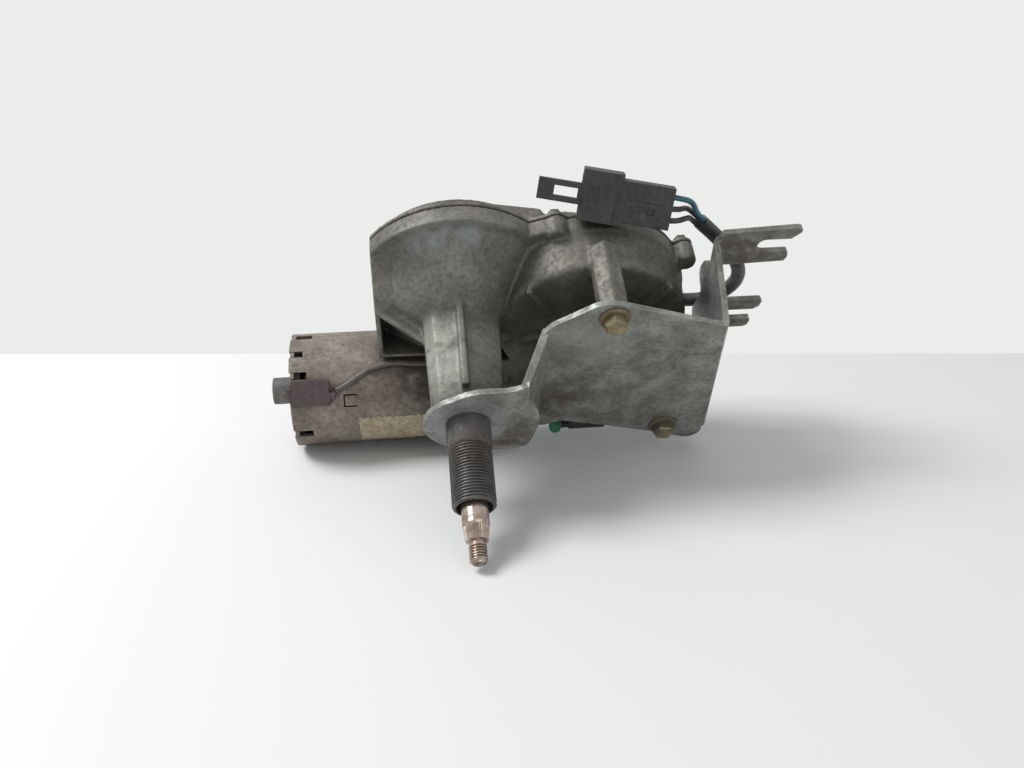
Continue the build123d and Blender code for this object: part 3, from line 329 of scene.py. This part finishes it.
# %% Sheet and drawn steel
# A satin grey with pale bloom, rust brown round the ear, the web and the forks, and a painted bluish highlight on
# the inner flange.
PLATE = weathered("zinc plated sheet, dull", "#72726c", "#a6a8a3", "#3b342c", 0.5, 0.3, 0.6, 0.05, edge=0.9,
                  wide_mm=11, dirt_and_shade=0.6, dirt_and_shade_mm=7,
                  spots=[((22, -18, 0), 5, 30, "#43362a", 0.85), ((44, -30, -29), 4, 28, "#4c4035", 0.85),
                         ((60, 24, -29), 6, 26, "#9a9c97", 0.6), ((140, 20, -77), 8, 34, "#4d433a", 0.9),
                         ((140, -26, -77), 8, 34, "#4d433a", 0.9), ((126, 0, -60), 4, 30, "#7d8a90", 0.6)])
# Brown oxide with pits and pale scuffs, darker beside the tower, grey on the bearing cup.
CAN = weathered("drawn steel can, oxidised", "#71685f", "#a0968b", "#3a3028", 0.55, 0.25, 0.8, 0.12, edge=0.6,
                dirt_and_shade=0.8, dirt_and_shade_mm=10, pits=0.8, wide_mm=14,
                spots=[((-18, -36, -50), 8, 30, "#352d25", 0.95), ((-30, -33, -62), 3, 16, "#453b32", 0.8),
                       ((-86, -40, -50), 3, 14, "#463b33", 0.8), ((-97, -62, -67), 10, 14, "#55565a", 0.9)])

# %% Fasteners and turned steel
# Yellow passivate gone tan, with a glint on the corners; the lower bolt is greyer.
BOLT = weathered("yellow passivated bolt, dirty", "#6c6048", "#958868", "#372f24", 0.55, 0.35, 0.5, 0.06, edge=0.8,
                 wide_mm=4, dirt_and_shade=0.7, dirt_and_shade_mm=3, spots=[((105.2, -57.3, -26), 8, 14, "#59554c", 0.85)])
# Dull and dark, it hardly shows.
SCREW = weathered("grimed screw", "#5b564d", "#7c776c", "#2f2b26", 0.55, 0.4, 0.5, 0.05, wide_mm=4)
# Dark satin with a reddish band where the thread begins, and light on the worn crests.
SLEEVE = weathered("turned sleeve, browned", "#454442", "#6a6967", "#242322", 0.46, 0.35, 0.5, 0.03, edge=0.7,
                   edge_mm=0.5, wide_mm=6, dirt_and_shade=0.6, dirt_and_shade_mm=2,
                   spots=[((0, 9, 17), 4, 12, "#4d3a32", 0.9), ((0, 10, 4), 3, 9, "#5c5d5c", 0.8)])
# The one clean grey ring on a soiled plate.
RING = weathered("clean seat ring", "#7d807e", "#969997", "#5a5954", 0.5, 0.35, 0.5, 0.03, wide_mm=9)
# Real metal gloss with a pinkish cast, brown in the grooves with dirt and painted shade.
BRIGHT = weathered("turned spindle steel", "#98867b", "#cdbfb4", "#4d3b30", 0.28, 0.9, 0.5, 0.02, edge=0.5,
                   edge_mm=0.4, wide_mm=4, dirt_and_shade=0.7, dirt_and_shade_mm=1.2)
# Bright and oily, for everything that runs inside.
INNER_STEEL = weathered("machined steel, oiled", "#8a8a88", "#a8a8a6", "#5c5a56", 0.3, 0.95, 0.5, 0.01)

# %% Plastics, rubber and paper
# Nearly black, with a soft sheen and edges gone grey.
PLASTIC = weathered("black polyamide, aged", "#292728", "#3a3738", "#1b1a1a", 0.55, 0.0, 0.4, 0.03, edge=0.5,
                    edge_mm=0.6, wide_mm=8)
# Dusty plum brown, dark in its recesses with dirt and painted shade.
BROWN_PLASTIC = weathered("brown polyester plug", "#473b3b", "#5d5050", "#2b2222", 0.55, 0.0, 0.5, 0.03, edge=0.5,
                          edge_mm=0.6, dirt_and_shade=0.6, dirt_and_shade_mm=3)
# The only strong colour on the motor.
GREEN_PLASTIC = weathered("green polyamide", "#1f6b50", "#3c8468", "#123a2c", 0.5, 0.0, 0.5, 0.02, dirt_and_shade=0.5,
                          dirt_and_shade_mm=3)
# Flat and fibrous, tan with brown wear.
PAPER = weathered("worn label stock", "#a19279", "#c1b39a", "#4e4236", 0.8, 0.0, 0.6, 0.06, wide_mm=5, pits=0.6)
# Chalky black without a highlight.
RUBBER = weathered("moulded rubber", "#262524", "#343230", "#161514", 0.75, 0.0, 0.6, 0.03)
# Milky and slightly waxy.
NYLON = weathered("natural polyamide", "#d8d2bf", "#e4dfd0", "#b3aa92", 0.45, 0.0, 0.6, 0.01)
# Dry and dark, a thin line between two castings.
FIBRE = weathered("pressed gasket fibre", "#2f2c27", "#3b3731", "#1c1a17", 0.85, 0.0, 0.4, 0.03)

# %% Wire insulation
# Soft vinyl: a long highlight along each wire, broken by dust.
BLACK_PVC = weathered("black soft vinyl", "#2a2a2b", "#444445", "#151515", 0.5, 0.0, 0.8, 0.02, wide_mm=9)
BLUE_PVC = weathered("petrol blue vinyl", "#2c5866", "#3f7686", "#1b3a44", 0.4, 0.0, 0.8, 0.02, wide_mm=9)
BROWN_PVC = weathered("brown vinyl", "#33272a", "#4c3c38", "#1f1715", 0.4, 0.0, 0.8, 0.02, wide_mm=9)
LEAD_PVC = weathered("grey brown vinyl", "#4c4844", "#6b665f", "#2c2824", 0.5, 0.0, 0.8, 0.02, wide_mm=9)

# %% Electrical pieces and bearings
# Yellow, red and brown metal that shines, and two dry blacks.
BRASS = weathered("stamped brass", "#b08d4a", "#c9a763", "#7a5f30", 0.35, 0.95, 0.5, 0.01)
COPPER = weathered("enamelled copper", "#8f4a26", "#ab6034", "#5a2c16", 0.35, 0.8, 0.5, 0.01)
BRONZE = weathered("sintered bronze", "#8c6b3c", "#a3804c", "#5c4526", 0.5, 0.85, 0.4, 0.02)
FERRITE = weathered("sintered ferrite", "#2c2c2e", "#38383a", "#1e1e20", 0.7, 0.0, 0.4, 0.02)
CARBON = weathered("pressed carbon", "#1e1e1f", "#2a2a2b", "#121213", 0.6, 0.0, 0.4, 0.02)

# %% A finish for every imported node
FINISH_OF_SLOT = {
    "cast_alloy": CAST, "zinc_steel": PLATE, "can_steel": CAN, "cover_steel": COVER, "bolt_steel": BOLT,
    "bright_steel": INNER_STEEL, "black_plastic": PLASTIC, "brown_plastic": BROWN_PLASTIC,
    "green_plastic": GREEN_PLASTIC, "label_paper": PAPER, "sleeve_pvc": BLACK_PVC, "blue_pvc": BLUE_PVC,
    "brown_pvc": BROWN_PVC, "black_rubber": RUBBER, "contact_brass": BRASS, "winding_copper": COPPER,
    "bush_bronze": BRONZE, "ferrite": FERRITE, "carbon": CARBON, "nylon_wheel": NYLON,
    "gasket_paper": FIBRE, "core_steel": INNER_STEEL,
}
FINISH_OF_NODE = {"cover_screws": SCREW, "sleeve_seat_ring": RING, "end_plate": CAN, "spindle_circlip": SLEEVE,
                  "spindle_washer": SLEEVE, "threaded_sleeve": SLEEVE, "output_shaft": BRIGHT,
                  "breather_body": GREEN_PLASTIC, "breather_cap": GREEN_PLASTIC}
for node, piece in NODES.items():
    piece.data.materials.clear()
    piece.data.materials.append(FINISH_OF_NODE.get(node, FINISH_OF_SLOT[SLOT_OF[node]]))
for cord, finish in ((loom, BLACK_PVC), (blue, BLUE_PVC), (black, BLACK_PVC), (brown, BROWN_PVC), (lead, LEAD_PVC)):
    cord.data.materials.append(finish)
print("finishes", len(bpy.data.materials))

# %% [markdown]
# ## Helpers for shapes
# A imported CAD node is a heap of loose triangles.  Its copy is merged and its flat faces are joined again;
# from then on it can be cut, eased or cast like any mesh.  All shapes are drawn in machine millimetres and
# turned to the bench only when they are finished, so that every object sits at the origin, with its place
# in its mesh.

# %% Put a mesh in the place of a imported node
def stand_in(name, bm, node, smooth_deg=35, place=TO_BENCH):
    """Makes a finished piece of a bmesh, with the body and finish of the node that it replaces."""
    mesh = bpy.data.meshes.new(name)
    bm.to_mesh(mesh)
    bm.free()
    mesh.transform(place)
    mesh.materials.append(NODES[node].data.materials[0])
    mesh.shade_smooth()
    mesh.set_sharp_from_angle(angle=math.radians(smooth_deg))
    piece = bpy.data.objects.new(name, mesh)
    bpy.context.scene.collection.objects.link(piece)
    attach(piece, BODY_OF[node])
    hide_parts(node)
    print(name, "faces", len(mesh.polygons))
    return piece


# %% Copy a node and ease its edges
MERGE_MM, FLAT_DEG = 0.002, 1.0


def merged_copy(node):
    """A CAD node's copy in machine millimetres, with its flat faces joined."""
    bm = bmesh.new()
    bm.from_mesh(NODES[node].data)
    bm.transform(TO_BENCH.inverted())
    bmesh.ops.remove_doubles(bm, verts=bm.verts, dist=MERGE_MM)
    bmesh.ops.dissolve_limit(bm, angle_limit=math.radians(FLAT_DEG), verts=bm.verts, edges=bm.edges)
    return bm


def round_edges(piece, radius_mm):
    """Gives every edge sharper than 30 degrees a small radius, which catches the light."""
    bevel = piece.modifiers.new("edge radius", "BEVEL")
    bevel.width = radius_mm / 1000
    bevel.segments = 2
    bevel.limit_method = "ANGLE"
    bevel.angle_limit = math.radians(30)


# %% Solids by operators
ORIGIN, OUT = Vector((0, 0, 0)), Vector((0, 0, 1))
FULL_TURN = 2 * math.pi


def turned(bm, profile, steps=72, closed=True, angle=FULL_TURN, start=0.0):
    """Spins a (radius, height) profile about the spindle direction, as a lathe does."""
    outline = [bm.verts.new((r * math.cos(start), r * math.sin(start), w)) for r, w in profile]
    pairs = zip(outline, outline[1:] + outline[:1]) if closed else zip(outline, outline[1:])
    edges = [bm.edges.new(pair) for pair in pairs]
    bmesh.ops.spin(bm, geom=outline + edges, cent=ORIGIN, axis=OUT, angle=angle, steps=steps,
                   use_merge=angle >= FULL_TURN)


def slab(bm, centre, size, turn_deg=0.0):
    place = Matrix.Translation(centre) @ Matrix.Rotation(math.radians(turn_deg), 4, "Z")
    bmesh.ops.create_cube(bm, size=1.0, matrix=place @ Matrix.Diagonal((*size, 1.0)))


def drum(bm, spot, low, high, radius, steps):
    place = Matrix.Translation((*spot, (low + high) / 2))
    bmesh.ops.create_cone(bm, cap_ends=True, segments=steps, radius1=radius, radius2=radius, depth=high - low,
                          matrix=place)


def place_at(bm, spot):
    bmesh.ops.translate(bm, verts=bm.verts, vec=(*spot, 0))


def closed_up(bm):
    """Merges seams and poles, fills open rings and turns every face outwards."""
    bmesh.ops.remove_doubles(bm, verts=bm.verts, dist=0.001)
    rims = [edge for edge in bm.edges if edge.is_boundary]
    if rims:
        bmesh.ops.holes_fill(bm, edges=rims)
    bmesh.ops.recalc_face_normals(bm, faces=bm.faces)
    return bm


# %% A screw thread
TOOTH = [(0, 0.0), (1, 0.4), (1, 0.56), (0, 0.96)]      # shares of the tooth's height and of the pitch


def coil(root, crest, start, pitch, turns, steps):
    """One tooth swept up a helix and closed at both ends; steps is for each turn."""
    bm = bmesh.new()
    outline = [bm.verts.new((root + up * (crest - root), 0, start + share * pitch)) for up, share in TOOTH]
    edges = [bm.edges.new(pair) for pair in zip(outline, outline[1:] + outline[:1])]
    bmesh.ops.spin(bm, geom=outline + edges, cent=ORIGIN, axis=OUT, dvec=OUT * pitch / steps,
                   angle=FULL_TURN * turns, steps=steps * turns)
    return closed_up(bm)


# %% Join, cut and cast
def joined(first, second):
    """Moves the second bmesh into the first."""
    mesh = bpy.data.meshes.new("joined")
    second.to_mesh(mesh)
    second.free()
    first.from_mesh(mesh)
    bpy.data.meshes.remove(mesh)
    return first


def temporary(bm):
    mesh = bpy.data.meshes.new("temporary")
    bm.to_mesh(mesh)
    bm.free()
    made = bpy.data.objects.new("temporary", mesh)
    bpy.context.scene.collection.objects.link(made)
    return made


def settled(made):
    """The mesh that an object's modifiers give, as a new bmesh; the object goes."""
    seen = made.evaluated_get(bpy.context.evaluated_depsgraph_get())
    mesh = bpy.data.meshes.new_from_object(seen)
    bm = bmesh.new()
    bm.from_mesh(mesh)
    bpy.data.meshes.remove(mesh)
    bpy.data.objects.remove(made)
    return bm


def carved(bm, cutter):
    body, tool = temporary(bm), temporary(cutter)
    cut = body.modifiers.new("cut", "BOOLEAN")
    cut.operation, cut.solver, cut.object = "DIFFERENCE", "EXACT", tool
    result = settled(body)
    bpy.data.objects.remove(tool)
    return result


def cast_skin(bm, grain_mm, share):
    """Joins overlapping solids into one skin with soft edges and filled corners, then thins its faces."""
    body = temporary(bm)
    skin = body.modifiers.new("skin", "REMESH")
    skin.mode, skin.voxel_size = "VOXEL", grain_mm
    ease = body.modifiers.new("ease", "SMOOTH")
    ease.factor, ease.iterations = 0.5, 3
    thin = body.modifiers.new("thin", "DECIMATE")
    thin.ratio = share
    return settled(body)


# %% [markdown]
# ## Gear case and cover
# The case is one pressure die casting: flange band, spindle cone, tower, wheel lobe and worm tunnel.  The
# die fills its corners and rounds its edges, which a CAD copy doesn't show.  The copy is cut and built up
# where the CAD left the form plain.  A voxel skin with a little smoothing then joins everything: it gives
# fillets and soft edges at once, where a bevel would break on so many crossing surfaces.

# %% Gear case: take away the ear noses and the plain ribs
LOBE, LOBE_FACE = (66.3, -8.5), -58.0
EARS = [(48.0, 37.5), (114.0, 15.5), (114.5, -33.6), (31.5, -46.5)]
NOSE_LOW, NOSE_HIGH, NOSE_R = -77.2, -71.0, 5.7
PLAIN_RIBS_DEG, PLAIN_RIB_R, PLAIN_RIB_W, PLAIN_RIB_SIZE = (20, 66, 148), 28.5, LOBE_FACE + 2.05, (38, 3.4, 4.0)

case, knife = merged_copy("gear_case"), bmesh.new()
for ear in EARS:
    drum(knife, ear, NOSE_LOW, NOSE_HIGH, NOSE_R, 28)
for degrees in PLAIN_RIBS_DEG:
    turn = math.radians(degrees)
    spot = (LOBE[0] + PLAIN_RIB_R * math.cos(turn), LOBE[1] + PLAIN_RIB_R * math.sin(turn), PLAIN_RIB_W)
    slab(knife, spot, PLAIN_RIB_SIZE, degrees)
case = carved(case, knife)
print("case after the cuts, faces", len(case.faces))

# %% Gear case: build up the lobe's shoulder, wall and ribs
SHOULDER = [(42.0, -62.0), (47.9, -62.0), (47.3, -59.4), (45.9, -58.1), (42.0, -58.0)]
LOBE_WALL, WALL_FROM_DEG, WALL_SWEEP_DEG = [(44.5, -79.2), (49.2, -79.2), (47.6, -62.0), (44.5, -62.0)], 92, 40
FACE_RIBS = [((38.6, 15.7), 23.0, 122), ((95.8, 14.3), 22.0, 58)]      # middle, length, direction
RIB_W, RIB_WIDTH, RIB_HEIGHT = -57.3, 2.8, 4.6

build_up = bmesh.new()
turned(build_up, SHOULDER, steps=96)
turned(build_up, LOBE_WALL, steps=12, angle=math.radians(WALL_SWEEP_DEG), start=math.radians(WALL_FROM_DEG))
place_at(build_up, LOBE)
closed_up(build_up)
for middle, length, direction in FACE_RIBS:
    slab(build_up, (*middle, RIB_W), (length, RIB_WIDTH, RIB_HEIGHT), direction)

# %% Gear case and cover: one cast skin each
CASE_GRAIN_MM, COVER_GRAIN_MM = 0.85, 0.8
stand_in("gear_case_casting", cast_skin(joined(case, build_up), CASE_GRAIN_MM, 0.55), "gear_case", smooth_deg=60)
stand_in("cover_casting", cast_skin(merged_copy("case_cover"), COVER_GRAIN_MM, 0.45), "case_cover", smooth_deg=60)

# %% [markdown]
# ## Bracket and small pieces
# The bracket is cut and folded from sheet, and its sheared edges have a small radius, worn bright.  The
# moulded pieces have a radius from their mould.  A narrow bevel on the sharp edges of the CAD copy gives
# both, and leaves every flat alone.

# %% Eased copies
EASE_MM = {"bracket": 0.5, "suppressor_plug": 0.35, "terminal_block": 0.3, "breather_body": 0.3,
           "breather_cap": 0.3, "cover_screws": 0.25, "sleeve_seat_ring": 0.2, "end_plate": 0.3}
for node, radius in EASE_MM.items():
    round_edges(stand_in(node + "_eased", merged_copy(node), node), radius)

# %% [markdown]
# ## Spindle sleeve
# The sleeve is a turned steel tube: a plain collar at the root, then a fine thread, and a chamfered mouth
# that holds the seal.  The tube is spun from its half section, and the thread is one tooth swept up a
# helix.  Rings stacked on each other would be simpler, but they show as rings from the side.

# %% Sleeve with its thread
SLEEVE_SECTION = [(6.6, -16.0), (9.9, -16.0), (9.9, 0.0), (10.35, 0.0), (10.35, 13.0), (10.1, 13.5), (9.1, 14.3),
                  (9.1, 41.4), (9.55, 41.6), (9.55, 42.2), (8.9, 42.8), (8.2, 42.8), (8.2, 36.1), (7.6, 36.0),
                  (7.6, 24.0), (6.6, 24.0)]
SLEEVE_ROOT, SLEEVE_CREST, SLEEVE_PITCH, SLEEVE_TURNS, SLEEVE_START = 8.9, 9.9, 1.5, 18, 14.0

tube = bmesh.new()
turned(tube, SLEEVE_SECTION, steps=96)
thread = coil(SLEEVE_ROOT, SLEEVE_CREST, SLEEVE_START, SLEEVE_PITCH, SLEEVE_TURNS, steps=48)
stand_in("sleeve_turned", joined(closed_up(tube), thread), "threaded_sleeve", smooth_deg=32)

# %% [markdown]
# ## Spindle
# The spindle carries the wiper arm: a knurled cone bites into the arm's hub, and a nut on the M8 thread
# pulls the hub down.  The knurl is a circle with every second point pushed in, extruded up the cone.  That
# gives true straight teeth with few faces, where a displaced cone would need thousands.

# %% Knurl
def knurl(low, high, r_low, r_high, teeth, depth):
    bm = bmesh.new()
    ring = bmesh.ops.create_circle(bm, segments=2 * teeth, radius=r_low)["verts"]
    bmesh.ops.scale(bm, verts=ring[::2], vec=(1 - depth / r_low, 1 - depth / r_low, 1))
    bmesh.ops.translate(bm, verts=ring, vec=(0, 0, low))
    made = bmesh.ops.extrude_edge_only(bm, edges=bm.edges[:])["geom"]
    top = [part for part in made if isinstance(part, bmesh.types.BMVert)]
    bmesh.ops.scale(bm, verts=top, vec=(r_high / r_low, r_high / r_low, 1))
    bmesh.ops.translate(bm, verts=top, vec=(0, 0, high - low))
    return closed_up(bm)


# %% Spindle
SPINDLE_OUTLINE = [(0, -92.0), (5.0, -92.0), (5.0, -80.0), (6.0, -80.0), (6.0, 37.5), (5.35, 37.55), (5.35, 38.65),
                   (6.0, 38.7), (6.0, 48.6), (5.75, 48.8), (5.75, 49.5), (6.0, 49.7), (6.0, 51.2), (5.4, 52.0),
                   (5.3, 52.3), (4.6, 58.7), (3.2, 59.0), (3.2, 60.2), (3.15, 68.2), (2.7, 69.0), (1.7, 69.0),
                   (0, 68.0)]
KNURL_LOW, KNURL_HIGH, KNURL_TEETH, KNURL_DEPTH = 52.2, 58.6, 36, 0.5
M8_ROOT, M8_CREST, M8_PITCH, M8_TURNS, M8_START = 3.0, 3.95, 1.25, 6, 60.2

shaft = bmesh.new()
turned(shaft, SPINDLE_OUTLINE, steps=64, closed=False)
grip = knurl(KNURL_LOW, KNURL_HIGH, 5.8, 5.0, KNURL_TEETH, KNURL_DEPTH)
nut_thread = coil(M8_ROOT, M8_CREST, M8_START, M8_PITCH, M8_TURNS, steps=36)
stand_in("spindle_turned", joined(joined(closed_up(shaft), grip), nut_thread), "output_shaft", smooth_deg=32)

# %% [markdown]
# ## Flange bolts
# Two hexagon flange bolts hold the bracket to posts of the case.  The flange is spun.  The head is a
# six-sided face that is raised in four steps: up the flats, in for the chamfer, in again for the rim of the
# dish, and down into the dish.

# %% Hexagon head
HEAD_STEPS = [(4.1, 1.0), (0.9, 0.86), (0.0, 0.9), (-0.7, 0.8)]      # lift in mm, then scale about the middle


def raised(bm, face, lift, shrink):
    """Extrudes a face upwards and scales it about its own middle."""
    made = bmesh.ops.extrude_face_region(bm, geom=[face])["geom"]
    top = next(part for part in made if isinstance(part, bmesh.types.BMFace))
    middle = top.calc_center_median()
    bmesh.ops.translate(bm, verts=top.verts, vec=(0, 0, lift))
    middle.z += lift
    bmesh.ops.scale(bm, verts=top.verts, vec=(shrink, shrink, 1), space=Matrix.Translation(-middle))
    return top


def hex_head(across_flats, low, turn_deg):
    bm = bmesh.new()
    place = Matrix.Translation((0, 0, low)) @ Matrix.Rotation(math.radians(turn_deg), 4, "Z")
    base = bmesh.ops.create_circle(bm, segments=6, radius=across_flats / math.sqrt(3), cap_ends=True, matrix=place)
    top = base["verts"][0].link_faces[0]
    for lift, shrink in HEAD_STEPS:
        top = raised(bm, top, lift, shrink)
    bmesh.ops.recalc_face_normals(bm, faces=bm.faces)
    bmesh.ops.bevel(bm, geom=bm.edges[:], offset=0.3, segments=2, profile=0.5, affect="EDGES", material=-1)
    return bm


# %% Bolts
BOLT_TURNS_DEG = {(68.0, 36.4): 12, (105.2, -57.3): 29}      # where each bolt stands, and how its head stopped
BOLT_SEAT, ACROSS_FLATS = -29.0, 10.0
BOLT_OUTLINE = [(0, -46.0), (2.7, -46.0), (2.7, BOLT_SEAT), (7.0, BOLT_SEAT), (7.3, BOLT_SEAT + 0.3),
                (7.2, BOLT_SEAT + 0.9), (5.6, BOLT_SEAT + 1.5), (0, BOLT_SEAT + 1.6)]

bolts = bmesh.new()
for spot, turn_deg in BOLT_TURNS_DEG.items():
    bolt = bmesh.new()
    turned(bolt, BOLT_OUTLINE, steps=48, closed=False)
    bolt = joined(closed_up(bolt), hex_head(ACROSS_FLATS, BOLT_SEAT + 1.2, turn_deg))
    place_at(bolt, spot)
    bolts = joined(bolts, bolt)
stand_in("bolts_dished", bolts, "bracket_bolts", smooth_deg=40)

# %% [markdown]
# ## Plug housing
# The plug is moulded in black polyamide, in two halves that snap together: a collar with the latch loop
# and a body that the wires enter.  The CAD copy is turned square to its own axes, so that its shallow
# details can be cut straight, and then turned back.

# %% Plug housing
SEAT = (Matrix.Translation((55.8, 36.8, 84.8)) @ Matrix.Rotation(math.radians(-8), 4, "Z")
        @ Matrix.Rotation(math.radians(10), 4, "Y"))
TO_SEAT = (Matrix.Scale(1000, 4) @ TO_BENCH).inverted() @ SEAT
HOUSING_CUTS = {                                   # centre and size, in the housing's own millimetres
    "panel on the collar": ((5.6, 0.0, 11.4), (5.0, 1.0, 10.4)),
    "step behind the collar": ((17.6, 0.0, 12.0), (2.8, 1.0, 26.0)),
    "latch window": ((33.2, 0.8, 8.6), (4.2, 2.4, 2.6)),
    "parting line": ((31.0, 0.8, 12.5), (17.0, 0.5, 0.5)),
    "lower corner": ((38.0, 0.8, 1.4), (6.0, 0.9, 0.9)),
    "upper corner": ((38.0, 0.8, 21.1), (6.0, 0.9, 0.9)),
}

plug, cuts = merged_copy("connector_housing"), bmesh.new()
plug.transform(TO_SEAT.inverted())
for centre, size in HOUSING_CUTS.values():
    slab(cuts, centre, size)
round_edges(stand_in("plug_housing", carved(plug, cuts), "connector_housing",
                     place=Matrix.Scale(0.001, 4) @ SEAT), 0.35)

# %% [markdown]
# ## Label
# What is left of the label is a blank strip of tan stock with torn edges, wrapped on the can.  Whole rows
# and columns of a flat grid are shortened by noise, so that no point folds over its neighbour, and the
# grid is then bent round the can.  A Solidify modifier gives the paper its thickness.

# %% Torn label
LABEL_U, LABEL_DEG, LABEL_LIFT, PAPER_MM = (-54.7, -16.0), (65, 106), 0.08, 0.12


def torn(place, body, long, short):
    """How much of a row or column is left: a long noise and one three times shorter."""
    return body + long * noise.noise(place) + short * noise.noise(place * 3)


def label_sheet():
    bm = bmesh.new()
    bmesh.ops.create_grid(bm, x_segments=90, y_segments=30, size=0.5)
    for vert in bm.verts:
        x, y = vert.co.x, vert.co.y
        along = x * torn(Vector((y * 14, math.copysign(9, x), 0)), 0.96, 0.06, 0.03) + 0.5
        across = y * torn(Vector((x * 20, math.copysign(5, y), 0)), 0.9, 0.16, 0.09) + 0.5
        vert.co = on_can(LABEL_U[0] + along * (LABEL_U[1] - LABEL_U[0]),
                         LABEL_DEG[0] + across * (LABEL_DEG[1] - LABEL_DEG[0]), CAN_R + LABEL_LIFT)
    bmesh.ops.recalc_face_normals(bm, faces=bm.faces)
    return bm


label = stand_in("label_torn", label_sheet(), "type_label", smooth_deg=60)
paper = label.modifiers.new("paper", "SOLIDIFY")
paper.thickness, paper.offset = PAPER_MM / 1000, 1.0

# %% [markdown]
# ## Bench and light
# The motor lies on a plain white table that ends not far behind it, before a white wall.  The wall is the
# world's own colour, so no backdrop stands in the way of a view from behind.  One large soft lamp stands
# high on the left, as a window would; a weak one in front stands for the room, and the sky fills in evenly,
# so that faces that lean forward stay darker than those that face up.

# %% Table, metres
TABLE_HALF, EDGE_LEFT, EDGE_RIGHT = 3.0, Vector((-0.3195, 0.2804, 0)), Vector((0.3782, 0.1693, 0))
away = OUT.cross(EDGE_RIGHT - EDGE_LEFT).normalized()
table_bm = bmesh.new()
bmesh.ops.create_grid(table_bm, x_segments=1, y_segments=1, size=TABLE_HALF)
bmesh.ops.bisect_plane(table_bm, geom=table_bm.verts[:] + table_bm.edges[:] + table_bm.faces[:],
                       plane_co=EDGE_LEFT, plane_no=away, clear_outer=True)
bmesh.ops.translate(table_bm, verts=table_bm.verts, vec=(0, 0, CAD_LOW.z))
table_mesh = bpy.data.meshes.new("table")
table_bm.to_mesh(table_mesh)
table_bm.free()
table = bpy.data.objects.new("table", table_mesh)
bpy.context.scene.collection.objects.link(table)

# Plain and half matt, so that it takes a soft shadow and no mirror image.
TABLE, tree, shader = new_finish("white laminate table", 0.55)
shader.inputs["Base Color"].default_value = linear("#e9eaea")
table_mesh.materials.append(TABLE)
print("table faces", len(table_mesh.polygons))

# %% World
SKY_COLOUR, SKY, WALL_COLOUR = "#f1f3f4", 0.5, "#ebedeb"
world = bpy.data.worlds.new("studio")
bpy.context.scene.world = world
world.use_nodes = True
tree = world.node_tree
sky = tree.nodes["Background"]
sky.inputs["Color"].default_value = linear(SKY_COLOUR)
sky.inputs["Strength"].default_value = SKY
wall = add(tree, "Background", {"Color": linear(WALL_COLOUR), "Strength": 1.0})
ray = add(tree, "LightPath")
seen = maths(tree, "MAXIMUM", ray.outputs["Is Camera Ray"], ray.outputs["Is Transmission Ray"])
seen = maths(tree, "MAXIMUM", seen, ray.outputs["Is Glossy Ray"])
both = add(tree, "MixShader", {0: seen, 1: sky.outputs[0], 2: wall.outputs[0]})
tree.links.new(both.outputs[0], tree.nodes["World Output"].inputs["Surface"])
bpy.context.scene.view_settings.view_transform = "Standard"
print("sky strength", SKY)

# %% Lamps
LIT_SPOT = Vector((0, 0.03, 0))


def area_light(name, spot, size, watts):
    light = bpy.data.lights.new(name, "AREA")
    light.size = size
    light.energy = watts
    lamp = bpy.data.objects.new(name, light)
    lamp.location = spot
    lamp.rotation_euler = (LIT_SPOT - Vector(spot)).to_track_quat("-Z", "Y").to_euler()
    bpy.context.scene.collection.objects.link(lamp)
    print(name, watts, "W")


area_light("window", (-0.75, 0.2, 1.05), 0.6, 14)
area_light("room", (0.35, -1.1, 0.3), 0.9, 2.6)
